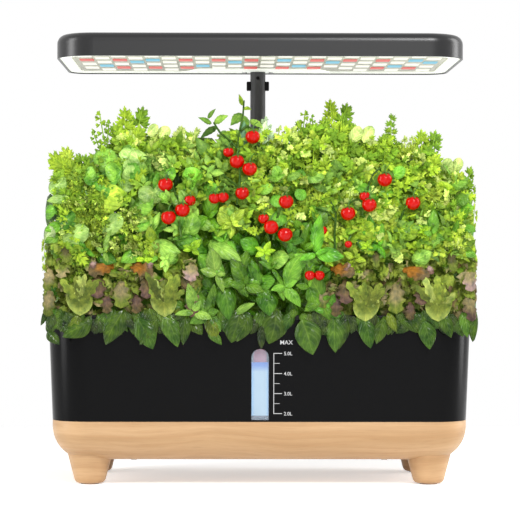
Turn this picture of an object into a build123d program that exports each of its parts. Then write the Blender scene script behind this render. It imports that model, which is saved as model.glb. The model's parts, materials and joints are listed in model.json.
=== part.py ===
"""Countertop hydroponic garden: a tapered 5 litre water tank on a wood-grain base with four legs,
a lift-off grow deck with twelve planted baskets and a hanging pump, and a grow light on a telescopic pole.

Millimetres. +Z is up and -Y is the front. The origin is on the counter, under the middle of the whole garden.
"""

import os
from math import atan, cos, degrees, radians, sin, tan

from build123d import *

os.makedirs("parts", exist_ok=True)

LOW = (Align.CENTER, Align.CENTER, Align.MIN)
HIGH = (Align.CENTER, Align.CENTER, Align.MAX)

# ---------------------------------------------------------------- driving dimensions
# tank and base
RIM_W = 401.0  # outside width of the tank at its rim
RIM_D = 190.0  # outside depth of the tank at its rim
BODY_Y = 5.0  # centre of the tank behind the origin
RIM_Z = 157.0  # top of the tank wall
SEAM_Z = 61.5  # joint line between the tank and the wood-grain base
DRAFT = 2.2  # slope of the tank walls in degrees
CORNER_R = 36.0  # plan radius of the tank corners at the rim
TANK_WALL = 2.5
BASE_Z = 23.5  # underside of the base between the legs
BASE_WALL = 3.0
BASE_EDGE_R = 32.0  # big round under the base
TANK_FIT = 0.3  # gap between the tank's pan and the base
SEAM_EASE = 0.5  # small round that shows the joint line

# legs and feet
LEG_INSET = 35.5
LEG_FOOT_R = 14.0
LEG_TOP_R = 20.0  # leg radius where it meets the base
LEG_REACH = 14.0  # how far the leg cone runs up into the base
LEG_TOE_R = 5.0
LEG_LIFT = 0.8  # the moulded leg ends this far above the counter
PAD_R = 9.0
PAD_DEPTH = 2.2  # recess for the rubber pad

# base screws
SCREW_R = 1.5
SCREW_LENGTH = 7.0
SCREW_HEAD_R = 3.2
SCREW_HEAD_H = 2.0
BASE_SCREW_X = 120.0
BASE_SCREW_Y = 45.0
BOSS_R = 5.0
BOSS_H = 6.5

# sight window and float
WINDOW_W = 16.6
WINDOW_H = 67.0
WINDOW_SILL = 1.5  # from the joint line up to the window's lower edge
WINDOW_LIP = 3.0  # flange round the window, inside the tank
FLANGE_T = 1.6
SEAL_T = 0.8
SLIP = 0.1  # slip fit of a moulded insert
FLOAT_W = 13.2
FLOAT_D = 5.0
FLOAT_H = 21.0
FLOAT_GAP = 0.4
FLOAT_TOP = 4.4  # float's top above the window's upper edge
FLOAT_EDGE_R = 1.5
GUIDE_WALL = 1.5
GUIDE_SLOT_W = 5.0

# grow deck
DECK_T = 2.5
DECK_LIP_H = 2.0
DECK_LIP_W = 4.0
DECK_EDGE_R = 1.2
SKIRT_DEPTH = 8.0
SKIRT_T = 2.0
SKIRT_GAP = 0.6
SEAL_RING = 0.9  # width of the soft ring round the skirt
SEAL_RING_H = 2.0
SEAL_GROOVE = 0.8
POD_ROWS = 2
POD_COLUMNS = 6
POD_INSET_X = 40.5  # axis of the outermost pods inside the rim
POD_PITCH_Y = 62.0
PODS_INSET_Y = 71.0  # middle of the two rows behind the front of the rim
POD_HOLE_R = 15.6
POD_COLLAR_T = 2.0
POD_COLLAR_H = 4.0

# baskets and sponges
BASKET_LIP_R = 18.0
BASKET_LIP_T = 1.5
BASKET_TOP_R = 15.2
BASKET_FOOT_R = 11.5
BASKET_H = 47.0
BASKET_WALL = 1.3
BASKET_SLOTS = 8
BASKET_SLOT_W = 3.6
BASKET_SLOT_H = 24.0
BASKET_DRAIN_R = 5.0
SPONGE_GAP = 0.3
SPONGE_H = 34.0
SPONGE_SINK = 1.5  # sponge top below the basket lip

# fill port and flap
FILL_INSET_X = 80.5  # middle of the port inside the rim
FILL_INSET_Y = 24.0
FILL_W = 52.0
FILL_D = 24.0
FLAP_MARGIN = 4.0
FLAP_T = 2.2
FLAP_GAP = 0.3
THUMB_LIP_T = 0.9
HINGE_INSET_Y = 8.0
HINGE_R = 2.4
HINGE_PIN_R = 1.1
HINGE_PLAY = 0.05
KNUCKLE_W = 7.0
KNUCKLE_GAP = 0.3

# pole
POLE_INSET_Y = 18.0  # pole axis ahead of the back of the rim
POLE_OUTER_R = 9.5
POLE_OUTER_BORE = 8.1
POLE_INNER_R = 7.7
POLE_INNER_BORE = 6.5
POLE_OUTER_TOP = 338.0
POLE_SOCKET_DEPTH = 34.0
POLE_SOCKET_WALL = 3.5
POLE_INNER_LENGTH = 206.0
POLE_BUSH_H = 18.0
POLE_PLAY = 0.05
COLLAR_R = 12.0
COLLAR_H = 13.0
COLLAR_CAP = 4.0  # part of the collar above the outer tube

# console behind the pods
CONSOLE_W = 80.0
CONSOLE_D = 28.5
CONSOLE_H = 17.5
CONSOLE_T = 2.0
CONSOLE_R = 6.0
CONSOLE_REAR = 1.5  # gap between the console and the deck lip
CONSOLE_NECK_R = 12.0
CONSOLE_NECK_H = 5.0
JACK_X = -26.0
JACK_R = 5.5
JACK_LENGTH = 13.0
JACK_BORE_R = 2.85
JACK_BORE_DEPTH = 9.5
JACK_PIN_R = 1.05
JACK_PIN_LENGTH = 8.5
BOARD_W = 17.0
BOARD_H = 12.0
BOARD_T = 1.6
BOARD_X = 23.0
BOARD_BEHIND = 3.75  # front of the board behind the middle of the console
HEADER_W = 6.0
HEADER_H = 5.0
CONSOLE_SCREW_X = 36.0
CONSOLE_SCREW_Y = 8.0

# pump
PUMP_X = 64.0
PUMP_W = 50.0
PUMP_D = 40.0
PUMP_H = 30.0
PUMP_Z = 34.0
PUMP_EDGE_R = 5.0
PUMP_COVER_D = 9.0
PUMP_COVER_T = 2.0
PUMP_SLOTS = 7
PUMP_SLOT_PITCH = 5.6
PUMP_SLOT_W = 2.4
IMPELLER_R = 9.5
IMPELLER_T = 1.6
IMPELLER_VANES = 6
VANE_H = 5.0
VANE_T = 1.4
ROTOR_R = 6.0
ROTOR_LENGTH = 20.0
ROTOR_GAP = 0.5
SHAFT_R = 1.0
SHAFT_PLAY = 0.05
RISER_R = 5.0
RISER_BORE = 3.5
RISER_SINK = 6.0
RISER_PORT_R = 1.6
RISER_PORT_DROP = 14.0  # spray holes below the deck
OUTLET_R = 2.3
OUTLET_RISE = 9.3  # outlet passage above the pump's axis
LEAD_R = 2.0
LEAD_X = 24.0
LEAD_AHEAD = 3.25  # lead ahead of the middle of the console
LEAD_RUN = 38.0  # length of the sloping part of the lead, front to back
LEAD_STEP = 12.0  # sideways step of the lead on its way up
LEAD_LIFT = 38.0
LEAD_TOP = 72.0  # end of the sloping part above the pump axis

# grow light
LAMP_W = 384.0
LAMP_D = 196.0
LAMP_H = 22.4
LAMP_BEHIND = 14.0  # back edge of the lamp behind the pole axis
LAMP_Z = 403.0
LAMP_FRONT_R = 36.0
LAMP_REAR_R = 20.0
LAMP_TOP_R = 8.5
LAMP_WALL = 2.0
TRAY_GAP = 0.2
TRAY_RECESS = 1.0
TRAY_FRAME_W = 11.0
TRAY_FRAME_T = 1.2
TRAY_WALL = 1.5
TRAY_H = 7.5
NOTCH_W = 118.0
NOTCH_D = 30.0
NOTCH_FLANK = 14.0
LENS_T = 1.4
LENS_LAP = 4.0
PAD_SIDE_SPACE = 5.3  # bare strip at each side of the lit window
PAD_REAR_SPACE = 12.4  # bare strip at the back of the lit window
PAD_GAP = 2.8
PAD_DEEP_GAP = 1.4
PAD_T = 0.7
PAD_COLUMNS = 22
LIGHT_ROWS = 8
LED_BOARD_T = 1.6
LED_SIZE = 5.0
LED_T = 0.8
SOCKET_W = 36.0
SOCKET_D = 22.0
SOCKET_ROOF = 2.0
SOCKET_SCREW_X = 13.5
SOCKET_SCREW_HEAD_H = 0.9
SOCKET_SCREW_LENGTH = 6.0
SPIGOT_R = 6.4
SPIGOT_DROP = 28.0
STUD_R = 1.7
STUD_DROP = 5.4  # below the lamp's underside
STUD_PROUD = 0.4

# release tabs
TAB_W = 6.0
TAB_H = 9.2
TAB_TOP_DROP = 8.7  # tab's top below the lamp's underside
TAB_PROUD = 3.7
TAB_TRAVEL = 1.6
TAB_PLAY = 0.3
TAB_FOOT = 1.2  # inner foot that keeps the tab in the tube
TAB_FOOT_T = 1.0
TAB_FOOT_SETBACK = 0.7  # foot stands this far inside the tube wall
SPRING_T = 0.5
SPRING_W = 4.0

# buttons on the lamp
BUTTON_X = 15.0
BUTTON_AHEAD = 32.0  # buttons ahead of the pole axis
BUTTON_R = 6.0
BUTTON_PLAY = 0.25
BUTTON_PROUD = 0.9
BUTTON_FLANGE = 1.2
BUTTON_FLANGE_T = 1.2
BUTTON_FLANGE_GAP = 0.5
BUTTON_STEM_R = 2.0
BUTTON_STEM_H = 1.8
BUTTON_TRAVEL = 0.8
SWITCH_H = 3.5
DRIVER_W = 90.0
DRIVER_D = 26.0
DRIVER_T = 1.6

# planting
STEM_R = 3.0
CANOPY_LIFT = 12.0  # clear air between the deck lip and the leaves
CANOPY_GAP = 2.0
CANOPY_EDGE_R = 9.0
CANOPY_SIDE = 4.5  # leaves past the sides of the rim
CANOPY_FRONT = 10.0  # leaves past the front of the rim
CANOPY_BACK = 12.0  # clear air between the leaves and the console
DROOP_Z = 130.0  # lowest hanging leaf
DROOP_GAP = 2.5  # hanging leaves clear the tank front by this
CROWN_LEAN = 42.0  # brow of the tall plants behind their front
CROWN_BROW = 12.0  # brow below the top of the plant
CROWN_SWELL = 9.0  # front of the crown falls back by this half way up
CROWN_NAPE = 55.0  # depth of the round at the back of the crown
CROWN_EDGE_R = 14.0
CROWN_SIDE_R = 32.0  # round at the outer ends of the back row
BULGE_H = 16.0  # widest part of the front row above its underside
LETTUCE_TOP = 222.0
BASIL_TOP = 252.0
PARSLEY_TOP = 338.0
SPINACH_TOP = 350.0
TOMATO_TOP = 358.0
CROWN_BACK = 12.0  # front of the tall plants behind the front of the canopy
ROW_SPLIT = 1.0  # split between the rows ahead of their middle

# ---------------------------------------------------------------- worked out from the above
draft_run = tan(radians(DRAFT)) * (RIM_Z - SEAM_Z)
seam_w = RIM_W - 2 * draft_run
seam_d = RIM_D - 2 * draft_run
seam_r = CORNER_R - draft_run / 2
pan_inset = BASE_WALL + TANK_FIT
pan_w = seam_w - 2 * pan_inset
pan_d = seam_d - 2 * pan_inset
pan_r = seam_r - pan_inset
pan_z = BASE_Z + BASE_WALL + TANK_FIT
base_edge_r = min(BASE_EDGE_R, seam_r - 1.0, SEAM_Z - BASE_Z - 2.0)
pan_edge_r = base_edge_r - pan_inset
floor_z = pan_z + TANK_WALL
shelf_z = SEAM_Z + TANK_WALL
deck_top = RIM_Z + DECK_T
lip_top = deck_top + DECK_LIP_H
tank_front, tank_back = BODY_Y - RIM_D / 2, BODY_Y + RIM_D / 2
pole_y = tank_back - POLE_INSET_Y
pods_y = tank_front + PODS_INSET_Y
pod_pitch_x = (RIM_W - 2 * POD_INSET_X) / (POD_COLUMNS - 1)
fill_x = RIM_W / 2 - FILL_INSET_X
fill_y = tank_back - FILL_INSET_Y
hinge_y = tank_back - HINGE_INSET_Y
leg_spots = [
    (x, BODY_Y + y)
    for x in (-(seam_w / 2 - LEG_INSET), seam_w / 2 - LEG_INSET)
    for y in (-(seam_d / 2 - LEG_INSET), seam_d / 2 - LEG_INSET)
]
base_screw_spots = [(x, BODY_Y + y) for x in (-BASE_SCREW_X, BASE_SCREW_X) for y in (-BASE_SCREW_Y, BASE_SCREW_Y)]
pod_xs = [(i - (POD_COLUMNS - 1) / 2) * pod_pitch_x for i in range(POD_COLUMNS)]
pod_ys = [pods_y + (j - (POD_ROWS - 1) / 2) * POD_PITCH_Y for j in range(POD_ROWS)]
pod_spots = [(x, y) for y in pod_ys for x in pod_xs]
pump_y = pods_y
pump_front = pump_y - PUMP_D / 2
riser_top = RIM_Z
lamp_top = LAMP_Z + LAMP_H
lamp_back = pole_y + LAMP_BEHIND
lamp_front = lamp_back - LAMP_D
frame_z = LAMP_Z + TRAY_RECESS
lens_z = frame_z + TRAY_FRAME_T
led_board_z = lens_z + LENS_T + LED_T + 1.0
window_w_in = LAMP_W - 2 * (LAMP_WALL + TRAY_FRAME_W)
window_d_in = LAMP_D - 2 * (LAMP_WALL + TRAY_FRAME_W)
pad_cell_x = (window_w_in - 2 * PAD_SIDE_SPACE) / PAD_COLUMNS
pad_cell_y = (window_d_in - PAD_REAR_SPACE) / LIGHT_ROWS
button_y = pole_y - BUTTON_AHEAD
socket_top = LAMP_Z + LAMP_H - LAMP_TOP_R
socket_roof_z = socket_top - SOCKET_ROOF
tab_z = LAMP_Z - TAB_TOP_DROP - TAB_H / 2

# the tank's front wall, with local Y running up the slope and local Z pointing out of the tank
front_wall = Plane(
    origin=(0, BODY_Y - seam_d / 2, SEAM_Z),
    x_dir=(1, 0, 0),
    z_dir=(0, -cos(radians(DRAFT)), -sin(radians(DRAFT))),
)
wall_depth = TANK_WALL * cos(radians(DRAFT))


def body_outline(width, depth, radius):
    """Rounded rectangle centred on the tank, drawn in the current sketch."""
    with Locations((0, BODY_Y)):
        RectangleRounded(width, depth, radius)


def save(piece, name):
    """Labels a finished piece and writes it as one STEP file."""
    piece.part.label = name
    export_step(piece.part, f"parts/{name}.step")


# ---------------------------------------------------------------- base and tank
with BuildPart() as tray_hollow:
    with BuildSketch(Plane.XY.offset(BASE_Z + BASE_WALL)):
        body_outline(seam_w - 2 * BASE_WALL, seam_d - 2 * BASE_WALL, seam_r - BASE_WALL)
    extrude(amount=SEAM_Z - BASE_Z)
    fillet(tray_hollow.faces().sort_by(Axis.Z)[0].edges(), base_edge_r - BASE_WALL)

with BuildPart() as base_tray:
    with BuildSketch(Plane.XY.offset(SEAM_Z)):
        body_outline(seam_w, seam_d, seam_r)
    extrude(amount=-(SEAM_Z - BASE_Z))
    fillet(base_tray.faces().sort_by(Axis.Z)[0].edges(), base_edge_r)
    leg_slope = (LEG_TOP_R - LEG_FOOT_R) / (BASE_Z - LEG_LIFT)
    leg_height = BASE_Z - LEG_LIFT + LEG_REACH
    with Locations(*[(x, y, LEG_LIFT) for x, y in leg_spots]):
        Cone(LEG_FOOT_R, LEG_FOOT_R + leg_slope * leg_height, leg_height, align=LOW)
    fillet(base_tray.edges().group_by(Axis.Z)[0], LEG_TOE_R)
    add(tray_hollow.part, mode=Mode.SUBTRACT)
    with Locations(*[(x, y, LEG_LIFT) for x, y in leg_spots]):
        Cylinder(PAD_R + SLIP, PAD_DEPTH, align=LOW, mode=Mode.SUBTRACT)
    with Locations(*[(x, y, BASE_Z) for x, y in base_screw_spots]):
        Cylinder(SCREW_R + SLIP, BASE_WALL, align=LOW, mode=Mode.SUBTRACT)
    fillet(base_tray.faces().sort_by(Axis.Z)[-1].outer_wire().edges(), SEAM_EASE)
save(base_tray, "base_tray")

with BuildPart() as foot_pads:
    with Locations(*leg_spots):
        Cylinder(PAD_R, LEG_LIFT + PAD_DEPTH, align=LOW)
    chamfer(foot_pads.edges().group_by(Axis.Z)[0], LEG_LIFT / 2)
save(foot_pads, "foot_pads")

with BuildPart() as base_screws:
    with Locations(*[(x, y, BASE_Z) for x, y in base_screw_spots]):
        Cylinder(SCREW_R, SCREW_LENGTH, align=LOW)
        Cylinder(SCREW_HEAD_R, SCREW_HEAD_H, align=HIGH)
    fillet(base_screws.edges().group_by(Axis.Z)[0], SCREW_HEAD_H * 0.4)
save(base_screws, "base_screws")

with BuildPart() as tank_hollow:
    with BuildSketch(Plane.XY.offset(floor_z)):
        body_outline(pan_w - 2 * TANK_WALL, pan_d - 2 * TANK_WALL, pan_r - TANK_WALL)
    extrude(amount=shelf_z - floor_z)
    fillet(tank_hollow.faces().sort_by(Axis.Z)[0].edges(), pan_edge_r - TANK_WALL)
    shelf_run = tan(radians(DRAFT)) * TANK_WALL
    with BuildSketch(Plane.XY.offset(shelf_z)):
        body_outline(
            seam_w + 2 * (shelf_run - TANK_WALL),
            seam_d + 2 * (shelf_run - TANK_WALL),
            seam_r - TANK_WALL,
        )
    with BuildSketch(Plane.XY.offset(RIM_Z)):
        body_outline(RIM_W - 2 * TANK_WALL, RIM_D - 2 * TANK_WALL, CORNER_R - TANK_WALL)
    loft(ruled=True)

with BuildPart() as water_tank:
    with BuildSketch(Plane.XY.offset(SEAM_Z)):
        body_outline(seam_w, seam_d, seam_r)
    with BuildSketch(Plane.XY.offset(RIM_Z)):
        body_outline(RIM_W, RIM_D, CORNER_R)
    loft(ruled=True)
    with BuildSketch(Plane.XY.offset(SEAM_Z)):
        body_outline(pan_w, pan_d, pan_r)
    extrude(amount=-(SEAM_Z - pan_z))
    fillet(water_tank.faces().sort_by(Axis.Z)[0].edges(), pan_edge_r)
    add(tank_hollow.part, mode=Mode.SUBTRACT)
    with Locations(*[(x, y, floor_z - TANK_WALL / 2) for x, y in base_screw_spots]):
        Cylinder(BOSS_R, BOSS_H, align=LOW)
    with Locations(*[(x, y, pan_z) for x, y in base_screw_spots]):
        Cylinder(SCREW_R, SCREW_LENGTH - (pan_z - BASE_Z), align=LOW, mode=Mode.SUBTRACT)
    with BuildSketch(front_wall):
        with Locations((0, WINDOW_SILL)):
            Rectangle(WINDOW_W, WINDOW_H - WINDOW_W / 2, align=(Align.CENTER, Align.MIN))
        with Locations((0, WINDOW_SILL + WINDOW_H - WINDOW_W / 2)):
            Circle(WINDOW_W / 2)
    extrude(amount=-2 * TANK_WALL, mode=Mode.SUBTRACT)
    fillet(water_tank.faces().filter_by(Axis.Z).sort_by(Axis.Z)[-1].edges(), SEAM_EASE)
save(water_tank, "water_tank")


# ---------------------------------------------------------------- sight window and float
def window_outline(grow):
    """Round-topped window outline, grown by an amount on every side."""
    with Locations((0, WINDOW_SILL - grow)):
        Rectangle(WINDOW_W + 2 * grow, WINDOW_H - WINDOW_W / 2 + grow, align=(Align.CENTER, Align.MIN))
    with Locations((0, WINDOW_SILL + WINDOW_H - WINDOW_W / 2)):
        Circle(WINDOW_W / 2 + grow)


window_sill_lip = min(WINDOW_LIP, WINDOW_SILL + SEAM_Z - shelf_z + WINDOW_LIP)
seal_face = front_wall.offset(-wall_depth)
flange_face = front_wall.offset(-wall_depth - SEAL_T)
guide_face = front_wall.offset(-wall_depth - SEAL_T - FLANGE_T)
flange_cut_y = (shelf_z - SEAM_Z) + FLOAT_GAP  # the flange stands clear of the shelf

with BuildPart() as sight_window:
    with BuildSketch(front_wall):
        window_outline(-SLIP)
    extrude(amount=-wall_depth - SEAL_T)
    with BuildSketch(flange_face):
        window_outline(WINDOW_LIP)
        with Locations((0, flange_cut_y)):
            Rectangle(4 * WINDOW_W, WINDOW_H, align=(Align.CENTER, Align.MAX), mode=Mode.SUBTRACT)
    extrude(amount=-FLANGE_T)
    fillet(sight_window.faces().sort_by(Axis.Y)[0].edges(), SEAM_EASE)
save(sight_window, "sight_window")

with BuildPart() as window_seal:
    with BuildSketch(seal_face):
        window_outline(WINDOW_LIP - SLIP)
        window_outline(SLIP)
        with Locations((0, flange_cut_y)):
            Rectangle(4 * WINDOW_W, WINDOW_H, align=(Align.CENTER, Align.MAX), mode=Mode.SUBTRACT)
        with Locations((0, WINDOW_SILL)):
            Rectangle(WINDOW_W, WINDOW_H - WINDOW_W / 2, align=(Align.CENTER, Align.MIN), mode=Mode.SUBTRACT)
        with Locations((0, WINDOW_SILL + WINDOW_H - WINDOW_W / 2)):
            Circle(WINDOW_W / 2, mode=Mode.SUBTRACT)
    extrude(amount=-SEAL_T)
save(window_seal, "window_seal")

channel_w = FLOAT_W + 2 * FLOAT_GAP
channel_d = FLOAT_D + 2 * FLOAT_GAP
guide_low = flange_cut_y
guide_high = WINDOW_SILL + WINDOW_H + FLOAT_TOP + GUIDE_WALL
float_high = guide_high - GUIDE_WALL
with BuildPart() as float_guide:
    with BuildSketch(guide_face):
        with Locations((0, guide_low)):
            Rectangle(channel_w + 2 * GUIDE_WALL, guide_high - guide_low, align=(Align.CENTER, Align.MIN))
    extrude(amount=-channel_d - GUIDE_WALL)
    with BuildSketch(guide_face):
        with Locations((0, guide_low + GUIDE_WALL)):
            Rectangle(channel_w, float_high - guide_low - GUIDE_WALL, align=(Align.CENTER, Align.MIN))
    extrude(amount=-channel_d, mode=Mode.SUBTRACT)
    with BuildSketch(guide_face):
        with Locations((0, guide_low + 2 * GUIDE_WALL)):
            Rectangle(GUIDE_SLOT_W, float_high - guide_low - 4 * GUIDE_WALL, align=(Align.CENTER, Align.MIN))
    extrude(amount=-channel_d - 2 * GUIDE_WALL, mode=Mode.SUBTRACT)
save(float_guide, "float_guide")

with BuildPart() as level_float:
    with BuildSketch(guide_face.offset(-FLOAT_GAP)):
        with Locations((0, float_high)):
            Rectangle(FLOAT_W, FLOAT_H, align=(Align.CENTER, Align.MAX))
    extrude(amount=-FLOAT_D)
    fillet(level_float.edges(), FLOAT_EDGE_R)
save(level_float, "level_float")

# ---------------------------------------------------------------- grow deck
console_y = tank_back - DECK_LIP_W - CONSOLE_REAR - CONSOLE_D / 2
board_y = console_y + BOARD_BEHIND
lead_y = console_y - LEAD_AHEAD
skirt_w = RIM_W - 2 * (TANK_WALL + SKIRT_GAP)
skirt_d = RIM_D - 2 * (TANK_WALL + SKIRT_GAP)
skirt_r = CORNER_R - TANK_WALL - SKIRT_GAP
skirt_z = RIM_Z - SKIRT_DEPTH
socket_z = RIM_Z - POLE_SOCKET_DEPTH
console_screw_spots = [
    (x, console_y + y) for x in (-CONSOLE_SCREW_X, CONSOLE_SCREW_X) for y in (-CONSOLE_SCREW_Y, CONSOLE_SCREW_Y)
]
flap_w = FILL_W + 2 * FLAP_MARGIN
flap_front = fill_y - FILL_D / 2 - FLAP_MARGIN
flap_z = deck_top + FLAP_GAP
hinge_z = deck_top + HINGE_R
hinge_knuckle_xs = (fill_x - flap_w / 2 + KNUCKLE_W / 2, fill_x + flap_w / 2 - KNUCKLE_W / 2)
hinge_line = Plane(origin=(fill_x, hinge_y, hinge_z), x_dir=(0, 1, 0), z_dir=(1, 0, 0))

with BuildPart() as grow_deck:
    with BuildSketch(Plane.XY.offset(RIM_Z)):
        body_outline(RIM_W, RIM_D, CORNER_R)
    extrude(amount=DECK_T + DECK_LIP_H)
    fillet(grow_deck.faces().sort_by(Axis.Z)[-1].edges(), DECK_EDGE_R)
    with BuildSketch(Plane.XY.offset(deck_top)):
        body_outline(RIM_W - 2 * DECK_LIP_W, RIM_D - 2 * DECK_LIP_W, CORNER_R - DECK_LIP_W)
    extrude(amount=2 * DECK_LIP_H, mode=Mode.SUBTRACT)
    # skirt that locates the deck inside the tank, with a groove for the soft ring
    with BuildSketch(Plane.XY.offset(RIM_Z)):
        body_outline(skirt_w, skirt_d, skirt_r)
        body_outline_inner = (skirt_w - 2 * SKIRT_T, skirt_d - 2 * SKIRT_T, skirt_r - SKIRT_T)
        with Locations((0, BODY_Y)):
            RectangleRounded(*body_outline_inner, mode=Mode.SUBTRACT)
    extrude(amount=-SKIRT_DEPTH)
    with BuildSketch(Plane.XY.offset(skirt_z + SKIRT_DEPTH / 2)):
        body_outline(skirt_w, skirt_d, skirt_r)
        with Locations((0, BODY_Y)):
            RectangleRounded(
                skirt_w - 2 * SEAL_GROOVE, skirt_d - 2 * SEAL_GROOVE, skirt_r - SEAL_GROOVE, mode=Mode.SUBTRACT
            )
    extrude(amount=SEAL_RING_H, mode=Mode.SUBTRACT)
    # collars under the pod holes, the pole socket and the riser nipple
    with Locations(*[(x, y, RIM_Z) for x, y in pod_spots]):
        Cylinder(POD_HOLE_R + POD_COLLAR_T, POD_COLLAR_H, align=HIGH)
    with Locations((0, pole_y, RIM_Z)):
        Cylinder(POLE_OUTER_R + POLE_SOCKET_WALL, POLE_SOCKET_DEPTH, align=HIGH)
    with Locations((PUMP_X, pump_y, RIM_Z)):
        Cylinder(RISER_R + POD_COLLAR_T, RISER_SINK, align=HIGH)
    with Locations(*[(x, y, deck_top) for x, y in pod_spots]):
        Cylinder(POD_HOLE_R, DECK_T + POD_COLLAR_H, align=HIGH, mode=Mode.SUBTRACT)
    with Locations((0, pole_y, deck_top)):
        Cylinder(
            POLE_OUTER_R + SLIP, DECK_T + POLE_SOCKET_DEPTH - POLE_SOCKET_WALL, align=HIGH, mode=Mode.SUBTRACT
        )
    with Locations((PUMP_X, pump_y, RIM_Z)):
        Cylinder(RISER_R + SLIP, RISER_SINK, align=HIGH, mode=Mode.SUBTRACT)
    # fill port, lead hole and console screw holes
    with BuildSketch(Plane.XY.offset(deck_top)):
        with Locations((fill_x, fill_y)):
            RectangleRounded(FILL_W, FILL_D, FLAP_MARGIN)
    extrude(amount=-DECK_T, mode=Mode.SUBTRACT)
    with Locations((LEAD_X, lead_y, deck_top)):
        Cylinder(LEAD_R + SLIP, DECK_T, align=HIGH, mode=Mode.SUBTRACT)
    with Locations(*[(x, y, deck_top) for x, y in console_screw_spots]):
        Cylinder(SCREW_R, DECK_T, align=HIGH, mode=Mode.SUBTRACT)
    # hinge knuckles of the fill flap
    for knuckle_x in hinge_knuckle_xs:
        with BuildSketch(hinge_line.offset(knuckle_x - fill_x - KNUCKLE_W / 2)):
            Circle(HINGE_R)
            Rectangle(2 * HINGE_R, HINGE_R, align=(Align.CENTER, Align.MAX))
            Circle(HINGE_PIN_R, mode=Mode.SUBTRACT)
        extrude(amount=KNUCKLE_W)
save(grow_deck, "grow_deck")

with BuildPart() as deck_seal:
    with BuildSketch(Plane.XY.offset(skirt_z + SKIRT_DEPTH / 2)):
        ring_out = SEAL_RING - SEAL_GROOVE
        body_outline(skirt_w + 2 * ring_out, skirt_d + 2 * ring_out, skirt_r + ring_out)
        with Locations((0, BODY_Y)):
            RectangleRounded(
                skirt_w - 2 * SEAL_GROOVE, skirt_d - 2 * SEAL_GROOVE, skirt_r - SEAL_GROOVE, mode=Mode.SUBTRACT
            )
    extrude(amount=SEAL_RING_H)
save(deck_seal, "deck_seal")

flap_knuckle_w = flap_w - 2 * KNUCKLE_W - 2 * KNUCKLE_GAP
with BuildPart() as fill_flap:
    with BuildSketch(Plane.XY.offset(flap_z)):
        with Locations((fill_x, flap_front)):
            Rectangle(flap_w, hinge_y - HINGE_R - KNUCKLE_GAP - flap_front, align=(Align.CENTER, Align.MIN))
    extrude(amount=FLAP_T)
    fillet(fill_flap.edges().filter_by(Axis.Z).group_by(Axis.Y)[0], FLAP_MARGIN)
    with BuildSketch(Plane.XY.offset(flap_z)):
        with Locations((fill_x, hinge_y)):
            Rectangle(flap_knuckle_w, 2 * HINGE_R, align=(Align.CENTER, Align.MAX))
    extrude(amount=FLAP_T)
    with BuildSketch(hinge_line.offset(-flap_knuckle_w / 2)):
        Circle(HINGE_R - FLAP_GAP)
    extrude(amount=flap_knuckle_w)
    with BuildSketch(hinge_line.offset(-flap_w / 2)):
        Circle(HINGE_PIN_R + HINGE_PLAY)
    extrude(amount=flap_w, mode=Mode.SUBTRACT)
    # thumb lip at the front
    with BuildSketch(Plane.XY.offset(flap_z + FLAP_T)):
        with Locations((fill_x, flap_front)):
            SlotOverall(FILL_W / 3, FLAP_MARGIN, align=(Align.CENTER, Align.MIN))
    extrude(amount=THUMB_LIP_T)
save(fill_flap, "fill_flap")

with BuildPart() as hinge_pin:
    with BuildSketch(hinge_line.offset(-flap_w / 2)):
        Circle(HINGE_PIN_R)
    extrude(amount=flap_w)
save(hinge_pin, "hinge_pin")

# ---------------------------------------------------------------- baskets and sponges
basket_foot_z = deck_top - BASKET_H
slant = (BASKET_TOP_R - BASKET_FOOT_R) / BASKET_H
with BuildPart() as basket:
    with BuildSketch(Plane.XZ):
        Polygon(
            (BASKET_DRAIN_R, basket_foot_z),
            (BASKET_FOOT_R, basket_foot_z),
            (BASKET_TOP_R, deck_top),
            (BASKET_LIP_R, deck_top),
            (BASKET_LIP_R, deck_top + BASKET_LIP_T),
            (BASKET_TOP_R - BASKET_WALL, deck_top + BASKET_LIP_T),
            (BASKET_FOOT_R + slant * BASKET_WALL - BASKET_WALL, basket_foot_z + BASKET_WALL),
            (BASKET_DRAIN_R, basket_foot_z + BASKET_WALL),
            align=None,
        )
    revolve(axis=Axis.Z)
    with Locations((0, 0, basket_foot_z + 2 * BASKET_WALL)):
        with PolarLocations(BASKET_FOOT_R + BASKET_WALL, BASKET_SLOTS):
            Box(3 * BASKET_WALL, BASKET_SLOT_W, BASKET_SLOT_H, align=LOW, mode=Mode.SUBTRACT)
for row_name, row_y in zip(("front", "rear"), pod_ys):
    with BuildPart() as grow_baskets:
        with Locations(*[(x, row_y) for x in pod_xs]):
            add(basket.part)
    save(grow_baskets, f"{row_name}_baskets")

sponge_top = deck_top + BASKET_LIP_T - SPONGE_SINK
sponge_foot = sponge_top - SPONGE_H
with BuildPart() as grow_sponges:
    wall_in = BASKET_TOP_R - BASKET_WALL - SPONGE_GAP
    with Locations(*[(x, y, sponge_foot) for x, y in pod_spots]):
        Cone(wall_in - slant * (SPONGE_H + SPONGE_SINK), wall_in - slant * SPONGE_SINK, SPONGE_H, align=LOW)
save(grow_sponges, "grow_sponges")

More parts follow.
